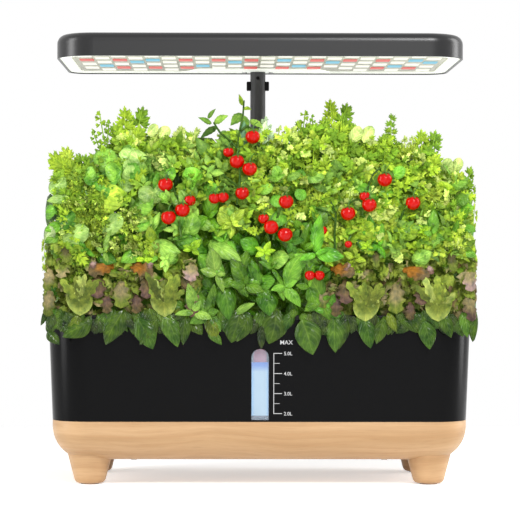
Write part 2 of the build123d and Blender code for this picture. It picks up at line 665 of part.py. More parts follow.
# ---------------------------------------------------------------- console, jack and board
console_z = deck_top
console_top = console_z + CONSOLE_H
jack_z = console_z + CONSOLE_H / 2
console_back = console_y + CONSOLE_D / 2
with BuildPart() as mast_console:
    with BuildSketch(Plane.XY.offset(console_z)):
        with Locations((0, console_y)):
            RectangleRounded(CONSOLE_W, CONSOLE_D, CONSOLE_R)
    extrude(amount=CONSOLE_H)
    fillet(mast_console.faces().sort_by(Axis.Z)[-1].edges(), CONSOLE_R / 2)
    with BuildSketch(Plane.XY.offset(console_z)):
        with Locations((0, console_y)):
            RectangleRounded(CONSOLE_W - 2 * CONSOLE_T, CONSOLE_D - 2 * CONSOLE_T, CONSOLE_R - CONSOLE_T)
    extrude(amount=CONSOLE_H - CONSOLE_T, mode=Mode.SUBTRACT)
    with Locations((0, pole_y, console_z)):
        Cylinder(CONSOLE_NECK_R, CONSOLE_H + CONSOLE_NECK_H, align=LOW)
    with Locations(*[(x, y, console_z) for x, y in console_screw_spots]):
        Cylinder(SCREW_R + CONSOLE_T, CONSOLE_H - CONSOLE_T, align=LOW)
    with Locations(*[(x, y, console_z) for x, y in console_screw_spots]):
        Cylinder(SCREW_R, SCREW_LENGTH, align=LOW, mode=Mode.SUBTRACT)
    with Locations((0, pole_y, console_z)):
        Cylinder(POLE_OUTER_R + SLIP, CONSOLE_H + CONSOLE_NECK_H, align=LOW, mode=Mode.SUBTRACT)
    with BuildSketch(Plane.XZ.offset(-console_back)):
        with Locations((JACK_X, jack_z)):
            Circle(JACK_R + SLIP)
    extrude(amount=2 * CONSOLE_T, mode=Mode.SUBTRACT)
save(mast_console, "mast_console")

with BuildPart() as console_screws:
    with Locations(*[(x, y, RIM_Z) for x, y in console_screw_spots]):
        Cylinder(SCREW_R, SCREW_LENGTH, align=LOW)
        Cylinder(SCREW_HEAD_R, SCREW_HEAD_H, align=HIGH)
save(console_screws, "console_screws")

with BuildPart() as dc_inlet:
    with BuildSketch(Plane.XZ.offset(-console_back)):
        with Locations((JACK_X, jack_z)):
            Circle(JACK_R)
    extrude(amount=JACK_LENGTH)
    with BuildSketch(Plane.XZ.offset(-console_back)):
        with Locations((JACK_X, jack_z)):
            Circle(JACK_BORE_R)
            Circle(JACK_PIN_R, mode=Mode.SUBTRACT)
    extrude(amount=JACK_BORE_DEPTH, mode=Mode.SUBTRACT)
    with BuildSketch(Plane.XZ.offset(-console_back)):
        with Locations((JACK_X, jack_z)):
            Circle(JACK_PIN_R)
    extrude(amount=JACK_BORE_DEPTH - JACK_PIN_LENGTH, mode=Mode.SUBTRACT)
save(dc_inlet, "dc_inlet")

header_z = console_z + 3.0
with BuildPart() as control_board:
    with Locations((BOARD_X, board_y, console_z)):
        Box(BOARD_W, BOARD_T, BOARD_H, align=(Align.CENTER, Align.MIN, Align.MIN))
    with Locations((LEAD_X, board_y, header_z)):
        Box(HEADER_W, board_y - lead_y + HEADER_W / 2, HEADER_H, align=(Align.CENTER, Align.MAX, Align.MIN))
save(control_board, "control_board")

# ---------------------------------------------------------------- pole
socket_floor = deck_top - (DECK_T + POLE_SOCKET_DEPTH - POLE_SOCKET_WALL)
pole_inner_top = socket_roof_z
pole_inner_foot = pole_inner_top - POLE_INNER_LENGTH
pole_axis = (0, pole_y)
with BuildPart() as pole_outer:
    with BuildSketch(Plane.XY.offset(socket_floor)):
        with Locations(pole_axis):
            Circle(POLE_OUTER_R)
            Circle(POLE_OUTER_BORE, mode=Mode.SUBTRACT)
    extrude(amount=POLE_OUTER_TOP - socket_floor)
save(pole_outer, "pole_outer")

with BuildPart() as pole_collar:
    with BuildSketch(Plane.XY.offset(POLE_OUTER_TOP + COLLAR_CAP - COLLAR_H)):
        with Locations(pole_axis):
            Circle(COLLAR_R)
    extrude(amount=COLLAR_H)
    fillet(pole_collar.edges(), 1.2)
    with Locations((0, pole_y, POLE_OUTER_TOP)):
        Cylinder(POLE_OUTER_R + SLIP, COLLAR_H, align=HIGH, mode=Mode.SUBTRACT)
        Cylinder(POLE_INNER_R + POLE_PLAY, COLLAR_H, align=LOW, mode=Mode.SUBTRACT)
save(pole_collar, "pole_collar")

tab_slot_h = TAB_H + 2 * TAB_PLAY
tab_slot_w = TAB_W + 2 * TAB_PLAY
with BuildPart() as pole_inner:
    with BuildSketch(Plane.XY.offset(pole_inner_foot)):
        with Locations(pole_axis):
            Circle(POLE_INNER_R)
            Circle(POLE_INNER_BORE, mode=Mode.SUBTRACT)
    extrude(amount=POLE_INNER_LENGTH)
    with Locations((0, pole_y, tab_z)):
        Box(4 * POLE_INNER_R, tab_slot_w, tab_slot_h, mode=Mode.SUBTRACT)
    with BuildSketch(Plane.XZ.offset(-pole_y)):
        with Locations((0, LAMP_Z - STUD_DROP)):
            Circle(STUD_R + SLIP)
    extrude(amount=2 * POLE_INNER_R, mode=Mode.SUBTRACT)
save(pole_inner, "pole_inner")

bush_r = POLE_OUTER_BORE - POLE_PLAY
with BuildPart() as pole_bush:
    with BuildSketch(Plane.XY.offset(pole_inner_foot)):
        with Locations(pole_axis):
            Circle(bush_r)
            Circle(POLE_INNER_BORE - BASKET_WALL, mode=Mode.SUBTRACT)
    extrude(amount=-DECK_T)
    with BuildSketch(Plane.XY.offset(pole_inner_foot)):
        with Locations(pole_axis):
            Circle(POLE_INNER_BORE - SLIP)
            Circle(POLE_INNER_BORE - BASKET_WALL, mode=Mode.SUBTRACT)
    extrude(amount=POLE_BUSH_H)
save(pole_bush, "pole_bush")

# ---------------------------------------------------------------- pump
pump_top = PUMP_Z + PUMP_H
pump_mid_z = PUMP_Z + PUMP_H / 2
chamber_depth = ROTOR_GAP + VANE_H + IMPELLER_T + ROTOR_GAP
rotor_depth = chamber_depth + ROTOR_LENGTH + ROTOR_GAP
pump_face = Plane(origin=(PUMP_X, pump_front, pump_mid_z), x_dir=(1, 0, 0), z_dir=(0, -1, 0))
with BuildPart() as pump_body:
    with BuildSketch(pump_face):
        RectangleRounded(PUMP_W, PUMP_H, PUMP_EDGE_R)
    extrude(amount=-PUMP_D)
    with Locations((PUMP_X, pump_y, pump_top)):
        Cylinder(RISER_R + POD_COLLAR_T, RISER_SINK, align=LOW)
    with Locations((PUMP_X, pump_y, pump_top)):
        Cylinder(RISER_R + SLIP, RISER_SINK, align=LOW, mode=Mode.SUBTRACT)
    with BuildSketch(pump_face):
        Circle(IMPELLER_R + 2 * ROTOR_GAP)
    extrude(amount=-chamber_depth, mode=Mode.SUBTRACT)
    with BuildSketch(pump_face):
        Circle(ROTOR_R + ROTOR_GAP)
    extrude(amount=-rotor_depth, mode=Mode.SUBTRACT)
    with BuildSketch(pump_face):
        Circle(SHAFT_R)
    extrude(amount=-rotor_depth - 4 * SHAFT_R, mode=Mode.SUBTRACT)
    # outlet passage from the top of the impeller chamber, back and then up to the riser
    with BuildSketch(pump_face.offset(-ROTOR_GAP)):
        with Locations((0, OUTLET_RISE)):
            Circle(OUTLET_R)
    extrude(amount=-(PUMP_D / 2 + OUTLET_R / 2), mode=Mode.SUBTRACT)
    with BuildSketch(Plane.XY.offset(pump_top)):
        with Locations((PUMP_X, pump_y)):
            Circle(RISER_BORE)
    extrude(amount=-(PUMP_H / 2 - OUTLET_RISE), mode=Mode.SUBTRACT)
save(pump_body, "pump_body")

with BuildPart() as pump_shaft:
    with BuildSketch(pump_face.offset(-ROTOR_GAP)):
        Circle(SHAFT_R)
    extrude(amount=-rotor_depth - 4 * SHAFT_R + ROTOR_GAP)
save(pump_shaft, "pump_shaft")

with BuildPart() as pump_impeller:
    with BuildSketch(pump_face.offset(-ROTOR_GAP - VANE_H)):
        Circle(IMPELLER_R)
    extrude(amount=-IMPELLER_T)
    with BuildSketch(pump_face.offset(-ROTOR_GAP - VANE_H)):
        Circle(3 * SHAFT_R)
        with PolarLocations(IMPELLER_R / 2 + SHAFT_R, IMPELLER_VANES):
            Rectangle(IMPELLER_R - 2 * SHAFT_R, VANE_T)
    extrude(amount=VANE_H)
    with BuildSketch(pump_face.offset(-ROTOR_GAP - VANE_H - IMPELLER_T)):
        Circle(ROTOR_R)
    extrude(amount=-ROTOR_LENGTH)
    with BuildSketch(pump_face):
        Circle(SHAFT_R + SHAFT_PLAY)
    extrude(amount=-rotor_depth, mode=Mode.SUBTRACT)
save(pump_impeller, "pump_impeller")

with BuildPart() as pump_cover:
    with BuildSketch(pump_face):
        RectangleRounded(PUMP_W, PUMP_H, PUMP_EDGE_R)
    extrude(amount=PUMP_COVER_D)
    with BuildSketch(pump_face):
        RectangleRounded(PUMP_W - 2 * PUMP_COVER_T, PUMP_H - 2 * PUMP_COVER_T, PUMP_EDGE_R - PUMP_COVER_T)
    extrude(amount=PUMP_COVER_D - PUMP_COVER_T, mode=Mode.SUBTRACT)
    with BuildSketch(pump_face):
        with GridLocations(PUMP_SLOT_PITCH, PUMP_H, PUMP_SLOTS, 1):
            SlotOverall(PUMP_H - 4 * PUMP_COVER_T, PUMP_SLOT_W, rotation=90)
    extrude(amount=PUMP_COVER_D, mode=Mode.SUBTRACT)
save(pump_cover, "pump_cover")

with BuildPart() as pump_filter:
    with BuildSketch(pump_face.offset(ROTOR_GAP)):
        RectangleRounded(
            PUMP_W - 2 * PUMP_COVER_T - 2 * SPONGE_GAP,
            PUMP_H - 2 * PUMP_COVER_T - 2 * SPONGE_GAP,
            PUMP_EDGE_R - PUMP_COVER_T - SPONGE_GAP,
        )
    extrude(amount=PUMP_COVER_D - PUMP_COVER_T - 2 * ROTOR_GAP)
save(pump_filter, "pump_filter")

with BuildPart() as riser_tube:
    with BuildSketch(Plane.XY.offset(pump_top)):
        with Locations((PUMP_X, pump_y)):
            Circle(RISER_R)
            Circle(RISER_BORE, mode=Mode.SUBTRACT)
    extrude(amount=riser_top - pump_top)
    for port_plane in (Plane.XZ.offset(-pump_y), Plane.YZ.offset(PUMP_X)):
        port_x = PUMP_X if port_plane.z_dir.Y else pump_y
        with BuildSketch(port_plane):
            with Locations((port_x, riser_top - RISER_PORT_DROP)):
                Circle(RISER_PORT_R)
        extrude(amount=RISER_R, both=True, mode=Mode.SUBTRACT)
save(riser_tube, "riser_tube")

# the pump's lead: out of the back of the pump, up to the console behind the pods
lead_points = [
    (PUMP_X, pump_y + PUMP_D / 2, pump_mid_z),
    (PUMP_X, lead_y - LEAD_RUN, pump_mid_z),
    (PUMP_X - LEAD_STEP, lead_y - LEAD_STEP, pump_mid_z + LEAD_LIFT),
    (LEAD_X, lead_y, pump_mid_z + LEAD_TOP),
    (LEAD_X, lead_y, header_z),
]


def bend_radii(points):
    """The largest arc that each corner of a route leaves room for."""
    corners = [Vector(p) for p in points]
    radii = []
    for before, corner, after in zip(corners, corners[1:], corners[2:]):
        run_in, run_out = corner - before, after - corner
        turn = radians(run_in.get_angle(run_out))
        radii.append(0.45 * min(run_in.length, run_out.length) / tan(turn / 2))
    return radii


lead_radii = bend_radii(lead_points)
print("pump lead bend radii", [round(r, 1) for r in lead_radii])
with BuildPart() as pump_lead:
    with BuildLine() as lead_route:
        FilletPolyline(*lead_points, radius=lead_radii)
    with BuildSketch(Plane(origin=lead_points[0], z_dir=(0, 1, 0))):
        Circle(LEAD_R)
    sweep(path=lead_route.wires()[0])
print(
    "pump lead volume over section times length",
    round(pump_lead.part.volume / (3.141592653589793 * LEAD_R**2 * lead_route.wires()[0].length), 4),
)
save(pump_lead, "pump_lead")


# ---------------------------------------------------------------- grow light
def lamp_outline(inset):
    """Plan of the lamp, with rounder corners in front than behind, drawn in the current sketch."""
    half = LAMP_W / 2 - inset
    front, back = lamp_front + inset, lamp_back - inset
    front_r, rear_r = LAMP_FRONT_R - inset, LAMP_REAR_R - inset
    with BuildLine() as outline:
        Line((-half + front_r, front), (half - front_r, front))
        Line((half, front + front_r), (half, back - rear_r))
        Line((half - rear_r, back), (-half + rear_r, back))
        Line((-half, back - rear_r), (-half, front + front_r))
        RadiusArc((half - front_r, front), (half, front + front_r), -front_r)
        RadiusArc((half, back - rear_r), (half - rear_r, back), -rear_r)
        RadiusArc((-half + rear_r, back), (-half, back - rear_r), -rear_r)
        RadiusArc((-half, front + front_r), (-half + front_r, front), -front_r)
    make_face(outline.edges())


def light_window(grow):
    """Outline of the lit window, with the notch for the pole mount at the back, grown on every side."""
    lamp_outline(LAMP_WALL + TRAY_FRAME_W - grow)
    half_notch = NOTCH_W / 2 - grow
    back = lamp_back - LAMP_WALL - TRAY_FRAME_W + grow
    with BuildLine() as notch:
        Polyline(
            (half_notch + NOTCH_FLANK, back),
            (half_notch, back - NOTCH_D),
            (-half_notch, back - NOTCH_D),
            (-half_notch - NOTCH_FLANK, back),
            (-half_notch - NOTCH_FLANK, back + NOTCH_D),
            (half_notch + NOTCH_FLANK, back + NOTCH_D),
            close=True,
        )
    make_face(notch.edges(), mode=Mode.SUBTRACT)


button_spots = [(-BUTTON_X, button_y), (BUTTON_X, button_y)]
socket_screw_spots = [(-SOCKET_SCREW_X, pole_y), (SOCKET_SCREW_X, pole_y)]
with BuildPart() as lamp_housing:
    with BuildSketch(Plane.XY.offset(LAMP_Z)):
        lamp_outline(0)
    extrude(amount=LAMP_H)
    fillet(lamp_housing.faces().sort_by(Axis.Z)[-1].edges(), LAMP_TOP_R)
    with BuildSketch(Plane.XY.offset(LAMP_Z)):
        lamp_outline(LAMP_WALL)
    extrude(amount=LAMP_H - LAMP_TOP_R, mode=Mode.SUBTRACT)
    with BuildSketch(Plane.XY.offset(LAMP_Z)):
        lamp_outline(LAMP_TOP_R)
    extrude(amount=LAMP_H - LAMP_WALL, mode=Mode.SUBTRACT)
    with Locations(*[(x, y, lamp_top) for x, y in button_spots]):
        Cylinder(BUTTON_R + BUTTON_PLAY, LAMP_WALL, align=HIGH, mode=Mode.SUBTRACT)
save(lamp_housing, "lamp_housing")

tray_inset = LAMP_WALL + TRAY_GAP
with BuildPart() as light_tray:
    with BuildSketch(Plane.XY.offset(frame_z)):
        lamp_outline(tray_inset)
    extrude(amount=TRAY_H)
    with BuildSketch(Plane.XY.offset(frame_z + TRAY_FRAME_T)):
        lamp_outline(tray_inset + TRAY_WALL)
    extrude(amount=TRAY_H, mode=Mode.SUBTRACT)
    with BuildSketch(Plane.XY.offset(frame_z)):
        light_window(0)
    extrude(amount=TRAY_FRAME_T, mode=Mode.SUBTRACT)
    with Locations(*[(x, y, frame_z) for x, y in socket_screw_spots]):
        Cylinder(SCREW_R + SLIP, TRAY_FRAME_T, align=LOW, mode=Mode.SUBTRACT)
    with Locations((0, pole_y, frame_z)):
        Cylinder(POLE_INNER_R + SLIP, TRAY_FRAME_T, align=LOW, mode=Mode.SUBTRACT)
save(light_tray, "light_tray")

with BuildPart() as lamp_lens:
    with BuildSketch(Plane.XY.offset(lens_z)):
        light_window(LENS_LAP)
    extrude(amount=LENS_T)
save(lamp_lens, "lamp_lens")

# coloured light pads in a chequerboard: two rows of red, some blue beside them and the rest white
pad_w, pad_d = pad_cell_x - PAD_GAP, pad_cell_y - PAD_DEEP_GAP
pads_front = lamp_front + LAMP_WALL + TRAY_FRAME_W + pad_cell_y / 2 + 0.6
notch_front = lamp_back - LAMP_WALL - TRAY_FRAME_W - NOTCH_D
pad_spots = {"white": [], "red": [], "blue": []}
for row in range(LIGHT_ROWS):
    for column in range(row % 2, PAD_COLUMNS, 2):
        spot = ((column - (PAD_COLUMNS - 1) / 2) * pad_cell_x, pads_front + row * pad_cell_y)
        in_notch = abs(spot[0]) < NOTCH_W / 2 + NOTCH_FLANK + pad_w / 2 and spot[1] + pad_d / 2 > notch_front
        if in_notch or abs(spot[0]) + pad_w / 2 > window_w_in / 2:
            continue
        if row in (2, 6) and (column + row) % 8 != 6:
            pad_spots["red"].append(spot)
        elif row == 2 or (row in (3, 5) and (column + row) % 6 < 2):
            pad_spots["blue"].append(spot)
        else:
            pad_spots["white"].append(spot)
with BuildSketch() as pad_area:
    light_window(-TRAY_GAP)
for colour, spots in pad_spots.items():
    with BuildPart() as light_pads:
        with BuildSketch(Plane.XY.offset(lens_z)):
            with Locations(*spots):
                Rectangle(pad_w, pad_d)
            add(pad_area.sketch, mode=Mode.INTERSECT)
        extrude(amount=-PAD_T)
    save(light_pads, f"{colour}_light_pads")

with BuildPart() as led_board:
    with BuildSketch(Plane.XY.offset(led_board_z)):
        light_window(LENS_LAP - SLIP)
    extrude(amount=LED_BOARD_T)
    with BuildSketch(Plane.XY.offset(led_board_z)):
        with Locations(*(pad_spots["white"] + pad_spots["red"] + pad_spots["blue"])):
            Rectangle(LED_SIZE, LED_SIZE)
    extrude(amount=-LED_T)
save(led_board, "led_board")

button_flange_top = lamp_top - LAMP_WALL - BUTTON_FLANGE_GAP
button_stem_z = button_flange_top - BUTTON_FLANGE_T - BUTTON_STEM_H
switch_top = button_stem_z - BUTTON_TRAVEL - FLAP_GAP
with BuildPart() as driver_board:
    with Locations((0, button_y, switch_top - SWITCH_H)):
        Box(DRIVER_W, DRIVER_D, DRIVER_T, align=HIGH)
    with Locations(*[(x, y, switch_top) for x, y in button_spots]):
        Box(2 * BUTTON_STEM_R, 2 * BUTTON_STEM_R, SWITCH_H, align=HIGH)
save(driver_board, "driver_board")

for spot, button_name in zip(button_spots, ("power_button", "mode_button")):
    with BuildPart() as push_button:
        with Locations((*spot, button_flange_top - BUTTON_FLANGE_T)):
            Cylinder(BUTTON_R + BUTTON_FLANGE, BUTTON_FLANGE_T, align=LOW)
            Cylinder(BUTTON_R, lamp_top + BUTTON_PROUD - button_flange_top + BUTTON_FLANGE_T, align=LOW)
            Cylinder(BUTTON_STEM_R, BUTTON_STEM_H, align=HIGH)
        fillet(push_button.edges().group_by(Axis.Z)[-1], BUTTON_PROUD / 2)
    save(push_button, button_name)

# ---------------------------------------------------------------- pole socket and release tabs
socket_z_low = frame_z + TRAY_FRAME_T
with BuildPart() as pole_socket:
    with BuildSketch(Plane.XY.offset(socket_z_low)):
        with Locations((0, pole_y - 1.0)):
            RectangleRounded(SOCKET_W, SOCKET_D, SOCKET_ROOF)
    extrude(amount=socket_top - socket_z_low)
    with BuildSketch(Plane.XY.offset(socket_z_low)):
        with Locations(pole_axis):
            Circle(POLE_INNER_R + SLIP)
    extrude(amount=socket_roof_z - socket_z_low, mode=Mode.SUBTRACT)
    with BuildSketch(Plane.XY.offset(socket_roof_z)):
        with Locations(pole_axis):
            Circle(SPIGOT_R)
    extrude(amount=-(socket_roof_z - LAMP_Z + SPIGOT_DROP))
    with Locations((0, pole_y, tab_z)):
        Box(2 * SPIGOT_R, TAB_W + 2 * TAB_PLAY, TAB_H + 2 * TAB_FOOT + 2 * TAB_PLAY, mode=Mode.SUBTRACT)
    with BuildSketch(Plane.XZ.offset(-pole_y)):
        with Locations((0, LAMP_Z - STUD_DROP)):
            Circle(STUD_R)
    extrude(amount=POLE_INNER_R + STUD_PROUD)
    with Locations(*[(x, y, socket_z_low) for x, y in socket_screw_spots]):
        Cylinder(SCREW_R, SOCKET_SCREW_LENGTH - TRAY_FRAME_T, align=LOW, mode=Mode.SUBTRACT)
save(pole_socket, "pole_socket")

with BuildPart() as socket_screws:
    with Locations(*[(x, y, frame_z) for x, y in socket_screw_spots]):
        Cylinder(SCREW_R, SOCKET_SCREW_LENGTH, align=LOW)
        Cylinder(SCREW_HEAD_R * 0.8, SOCKET_SCREW_HEAD_H, align=HIGH)
save(socket_screws, "socket_screws")

tab_inner = POLE_INNER_BORE - TAB_FOOT_T - TAB_FOOT_SETBACK
for side, tab_name in ((-1, "release_tab_left"), (1, "release_tab_right")):
    with BuildPart() as release_tab:
        tab_length = POLE_INNER_R + TAB_PROUD - tab_inner
        with Locations((side * (tab_inner + tab_length / 2), pole_y, tab_z)):
            Box(tab_length, TAB_W, TAB_H)
        fillet(release_tab.edges().group_by(Axis.X)[0 if side < 0 else -1], 1.0)
        with Locations((side * (tab_inner + TAB_FOOT_T / 2), pole_y, tab_z)):
            Box(TAB_FOOT_T, TAB_W - 1.0, TAB_H + 2 * TAB_FOOT)
    save(release_tab, tab_name)

spring_half = tab_inner - TAB_TRAVEL - TAB_PLAY
with BuildPart() as tab_spring:
    with BuildSketch(Plane.XZ.offset(-pole_y - SPRING_W / 2)):
        with Locations((0, tab_z)):
            RectangleRounded(2 * spring_half, TAB_H, spring_half * 0.9)
            RectangleRounded(
                2 * spring_half - 2 * SPRING_T,
                TAB_H - 2 * SPRING_T,
                spring_half * 0.9 - SPRING_T,
                mode=Mode.SUBTRACT,
            )
    extrude(amount=SPRING_W)
save(tab_spring, "tab_spring")

# ---------------------------------------------------------------- planting
canopy_low = lip_top + CANOPY_LIFT
canopy_side = RIM_W / 2 + CANOPY_SIDE
canopy_front = tank_front - CANOPY_FRONT
canopy_back = console_y - CONSOLE_D / 2 - CANOPY_BACK
crown_front = canopy_front + CROWN_BACK
row_split = pods_y - ROW_SPLIT
droop_back = tank_front - DROOP_GAP
side_xs = [-canopy_side] + [(a + b) / 2 for a, b in zip(pod_xs, pod_xs[1:])] + [canopy_side]
cells = [(low + CANOPY_GAP / 2, high - CANOPY_GAP / 2) for low, high in zip(side_xs, side_xs[1:])]
cells[0] = (-canopy_side, cells[0][1])
cells[-1] = (cells[-1][0], canopy_side)


def canopy_block(column, top, side_view, edge_r, end_r):
    """The leaves of one plant as one solid: its side view, rounded off by its front view."""
    low_x, high_x = cells[column]
    left_r = end_r if column == 0 else edge_r
    right_r = end_r if column == POD_COLUMNS - 1 else edge_r
    with BuildPart() as block:
        with BuildSketch(Plane.YZ.offset(low_x)) as side_face:
            make_face(side_view.edges())
        extrude(side_face.sketch, amount=high_x - low_x)
        with BuildSketch(Plane.XZ) as front_face:
            with Locations(((low_x + high_x) / 2, canopy_low)):
                Rectangle(high_x - low_x, top - canopy_low, align=(Align.CENTER, Align.MIN))
            fillet(front_face.vertices().group_by(Axis.Y)[-1].sort_by(Axis.X)[0], left_r)
            fillet(front_face.vertices().group_by(Axis.Y)[-1].sort_by(Axis.X)[-1], right_r)
        extrude(front_face.sketch, amount=RIM_D, both=True, mode=Mode.INTERSECT)
    return block.part


def front_canopy(column, top):
    """A front-row plant: it bulges over the deck's front edge and rounds off towards its top."""
    back = row_split - CANOPY_GAP
    with BuildLine() as side_view:
        FilletPolyline(
            (droop_back, canopy_low),
            (canopy_front, canopy_low + BULGE_H),
            (canopy_front + CANOPY_GAP, top - BULGE_H),
            (canopy_front + 2 * BULGE_H, top),
            (back, top),
            (back, canopy_low),
            radius=CANOPY_EDGE_R,
            close=True,
        )
    add(canopy_block(column, top, side_view, CANOPY_EDGE_R, CROWN_EDGE_R))


def back_canopy(column, top, under):
    """A back-row plant: a low bush behind the front row and a crown that swells forward over it."""
    shoulder = under + CANOPY_GAP
    middle_z = (shoulder + top) / 2
    brow = (crown_front + CROWN_LEAN, top - CROWN_BROW)
    nape = (canopy_back, top - CROWN_NAPE)
    with BuildLine() as side_view:
        Spline(
            (crown_front, shoulder),
            (crown_front + CROWN_SWELL, middle_z),
            brow,
            ((brow[0] + canopy_back) / 2, top),
            nape,
            tangents=((0, 1), (0, -1)),
        )
        Polyline(
            nape,
            (canopy_back, canopy_low),
            (row_split, canopy_low),
            (row_split, shoulder),
            (crown_front, shoulder),
        )
    add(canopy_block(column, top, side_view, CROWN_EDGE_R, CROWN_SIDE_R))


with BuildPart() as plant_stems:
    with Locations(*[(x, y, sponge_top) for x, y in pod_spots]):
        Cylinder(STEM_R, canopy_low - sponge_top, align=LOW)
save(plant_stems, "plant_stems")

with BuildPart() as lettuce_plants:
    for column in (0, 1, 4, 5):
        front_canopy(column, LETTUCE_TOP)
save(lettuce_plants, "lettuce_plants")

with BuildPart() as basil_plants:
    for column in (2, 3):
        front_canopy(column, BASIL_TOP)
save(basil_plants, "basil_plants")

with BuildPart() as hanging_leaves:
    for low_x, high_x in cells:
        with Locations((low_x, canopy_front, DROOP_Z)):
            Box(
                high_x - low_x,
                droop_back - canopy_front,
                canopy_low - DROOP_Z,
                align=(Align.MIN, Align.MIN, Align.MIN),
            )
save(hanging_leaves, "hanging_leaves")

with BuildPart() as parsley_plants:
    for column in (0, 5):
        back_canopy(column, PARSLEY_TOP, LETTUCE_TOP)
save(parsley_plants, "parsley_plants")

with BuildPart() as spinach_plant:
    back_canopy(1, SPINACH_TOP, LETTUCE_TOP)
save(spinach_plant, "spinach_plant")

with BuildPart() as tomato_plants:
    for column, under in ((2, BASIL_TOP), (3, BASIL_TOP), (4, LETTUCE_TOP)):
        back_canopy(column, TOMATO_TOP, under)
save(tomato_plants, "tomato_plants")
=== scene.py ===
"""Countertop hydroponic garden: the looks of the tank, the base, the grow light and twelve living plants.

Lengths are metres, apart from the planting plan and the printed scale, which are in mm. Leaves are numpy
grids: each leaf is an arc from its base to its tip with a width across it.
"""

import json
from math import pi, radians

import bpy
import numpy as np
from bpy.props import FloatProperty, FloatVectorProperty, IntProperty, PointerProperty
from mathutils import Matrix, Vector


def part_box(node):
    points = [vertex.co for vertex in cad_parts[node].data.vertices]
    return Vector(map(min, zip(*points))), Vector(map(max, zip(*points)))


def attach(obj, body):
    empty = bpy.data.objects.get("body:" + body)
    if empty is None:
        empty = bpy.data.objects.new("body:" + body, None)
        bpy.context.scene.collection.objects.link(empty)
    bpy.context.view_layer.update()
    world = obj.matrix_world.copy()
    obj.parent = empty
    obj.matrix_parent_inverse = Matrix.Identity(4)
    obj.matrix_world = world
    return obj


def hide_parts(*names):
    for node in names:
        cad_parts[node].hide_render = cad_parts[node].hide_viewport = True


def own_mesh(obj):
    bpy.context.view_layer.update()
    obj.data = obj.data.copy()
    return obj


bl_info = {
    "name": "Hydroponic Garden",
    "version": (1, 0, 0),
    "blender": (4, 5, 0),
    "location": "View3D > Sidebar > Garden",
    "description": "Finishes a countertop hydroponic garden and grows its plants",
    "category": "Object",
}

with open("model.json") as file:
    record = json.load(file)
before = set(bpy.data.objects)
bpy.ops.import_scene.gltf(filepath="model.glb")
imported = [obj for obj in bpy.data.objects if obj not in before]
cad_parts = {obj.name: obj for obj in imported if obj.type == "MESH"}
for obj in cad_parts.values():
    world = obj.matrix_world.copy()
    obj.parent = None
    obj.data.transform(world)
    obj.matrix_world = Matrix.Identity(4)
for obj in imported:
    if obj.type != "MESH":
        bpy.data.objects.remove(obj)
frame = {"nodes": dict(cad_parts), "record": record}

MM = 0.001

# pods and stems
POD_COLUMNS = 6
STEM_R = 0.003
STEM_SHOOTS = 5  # stalks that rise from one pod
STEM_RISE = 0.045
FRUIT_REACH = 0.1012  # how far a fruit may reach in front of the middle

# water behind the sight window
TANK_DRAFT = 2.2  # slope of the tank's walls in degrees
WATER_HALF = 0.0079  # half width
WATER_DEPTH = 0.0032  # front to back
WATER_BACK = 0.0035  # behind the tank's outside
WATER_FOOT = 0.004  # above the window's lower end
WATER_BAND = 0.0035  # height of the uppermost band

# printed level scale beside the window, in mm
SCALE_X = (12.5, 13.1)  # its upright line
SCALE_Z = (69.0, 126.1)
LITRES = (125.8, 106.9, 88.1, 69.3)  # heights of the marks for 5, 4, 3 and 2 litres
LITRE_TICK = (20.6, 0.3)  # right end and half thickness
HALF_TICK = (18.3, 0.22)
HALF_DROP = 9.4  # from a litre's mark down to the half litre's
WORD_X = 22.2
WORD_DROP = 1.7  # from a mark down to the foot of its word
WORD_SIZE = 4.6
MAX_WORD = ("MAX", 18.4, 134.2, 5.6)
INK = 0.00006  # how far the print stands out of the wall, in metres

# cells of the noise patterns per metre
MOULD_GRAIN = 1500.0  # 0.7 mm; a real 0.1 mm grain, drawn coarser so that it shows
STEEL_GRAIN = 3000.0  # 0.3 mm
FLOW_CLOUDS = 35.0  # 29 mm
FROST_CLOUDS = 160.0  # 6 mm
# the leaf patches below hold painted sun and painted shade
LEAF_PATCH = 240.0  # 4 mm, on small leaves
BROAD_PATCH = 120.0  # 8 mm, on broad leaves
OAK_BEND = 7.0  # 140 mm
OAK_FIGURE = (5.0, 5.0, 120.0)  # 200 mm long and 8 mm high
OAK_GRAIN = (14.0, 14.0, 480.0)  # 70 mm long and 2 mm high
OAK_PORES = (60.0, 60.0, 1500.0)  # 17 mm long and 0.7 mm high, drawn coarser so that they show

# camera
CAMERA_PLACE = (-0.0317, -2.030, 0.215)
CAMERA_TURN = (89.945, -0.086, -0.525)  # degrees
CAMERA_LENS = 143.65
CAMERA_SENSOR = 36.0
CAMERA_SHIFT = 0.028

# lamps: name, place, aim, width and height, watts
LAMPS = (
    ("key", (0.5, -1.4, 1.3), (0, 0, 0.22), (0.55, 0.55), 25),
    ("front", (0.2, -1.9, 0.5), (0, 0, 0.2), (1.2, 0.8), 3.5),
    ("left_strip", (-1.3, -0.4, 0.4), (-0.15, 0, 0.15), (0.4, 1.5), 16),
    ("right_strip", (1.25, 0.15, 0.4), (0.15, 0, 0.15), (0.4, 1.5), 14),
)
SEEN_GLOW, FILL_GLOW, FLOOR_GLOW = 1.0, 0.25, 0.5  # world as seen, world as light, floor as seen
FLOOR = ((-1.3, -1.7, 0), (1.3, -1.7, 0), (1.3, 0.6, 0), (-1.3, 0.6, 0))


# ---------------------------------------------------------------- colours and shader nodes
def linear(hex_colour):
    """Scene-linear RGBA of an sRGB hex colour."""
    srgb = np.array([int(hex_colour[i : i + 2], 16) for i in (1, 3, 5)]) / 255
    return (*np.where(srgb <= 0.04045, srgb / 12.92, ((srgb + 0.055) / 1.055) ** 2.4), 1.0)


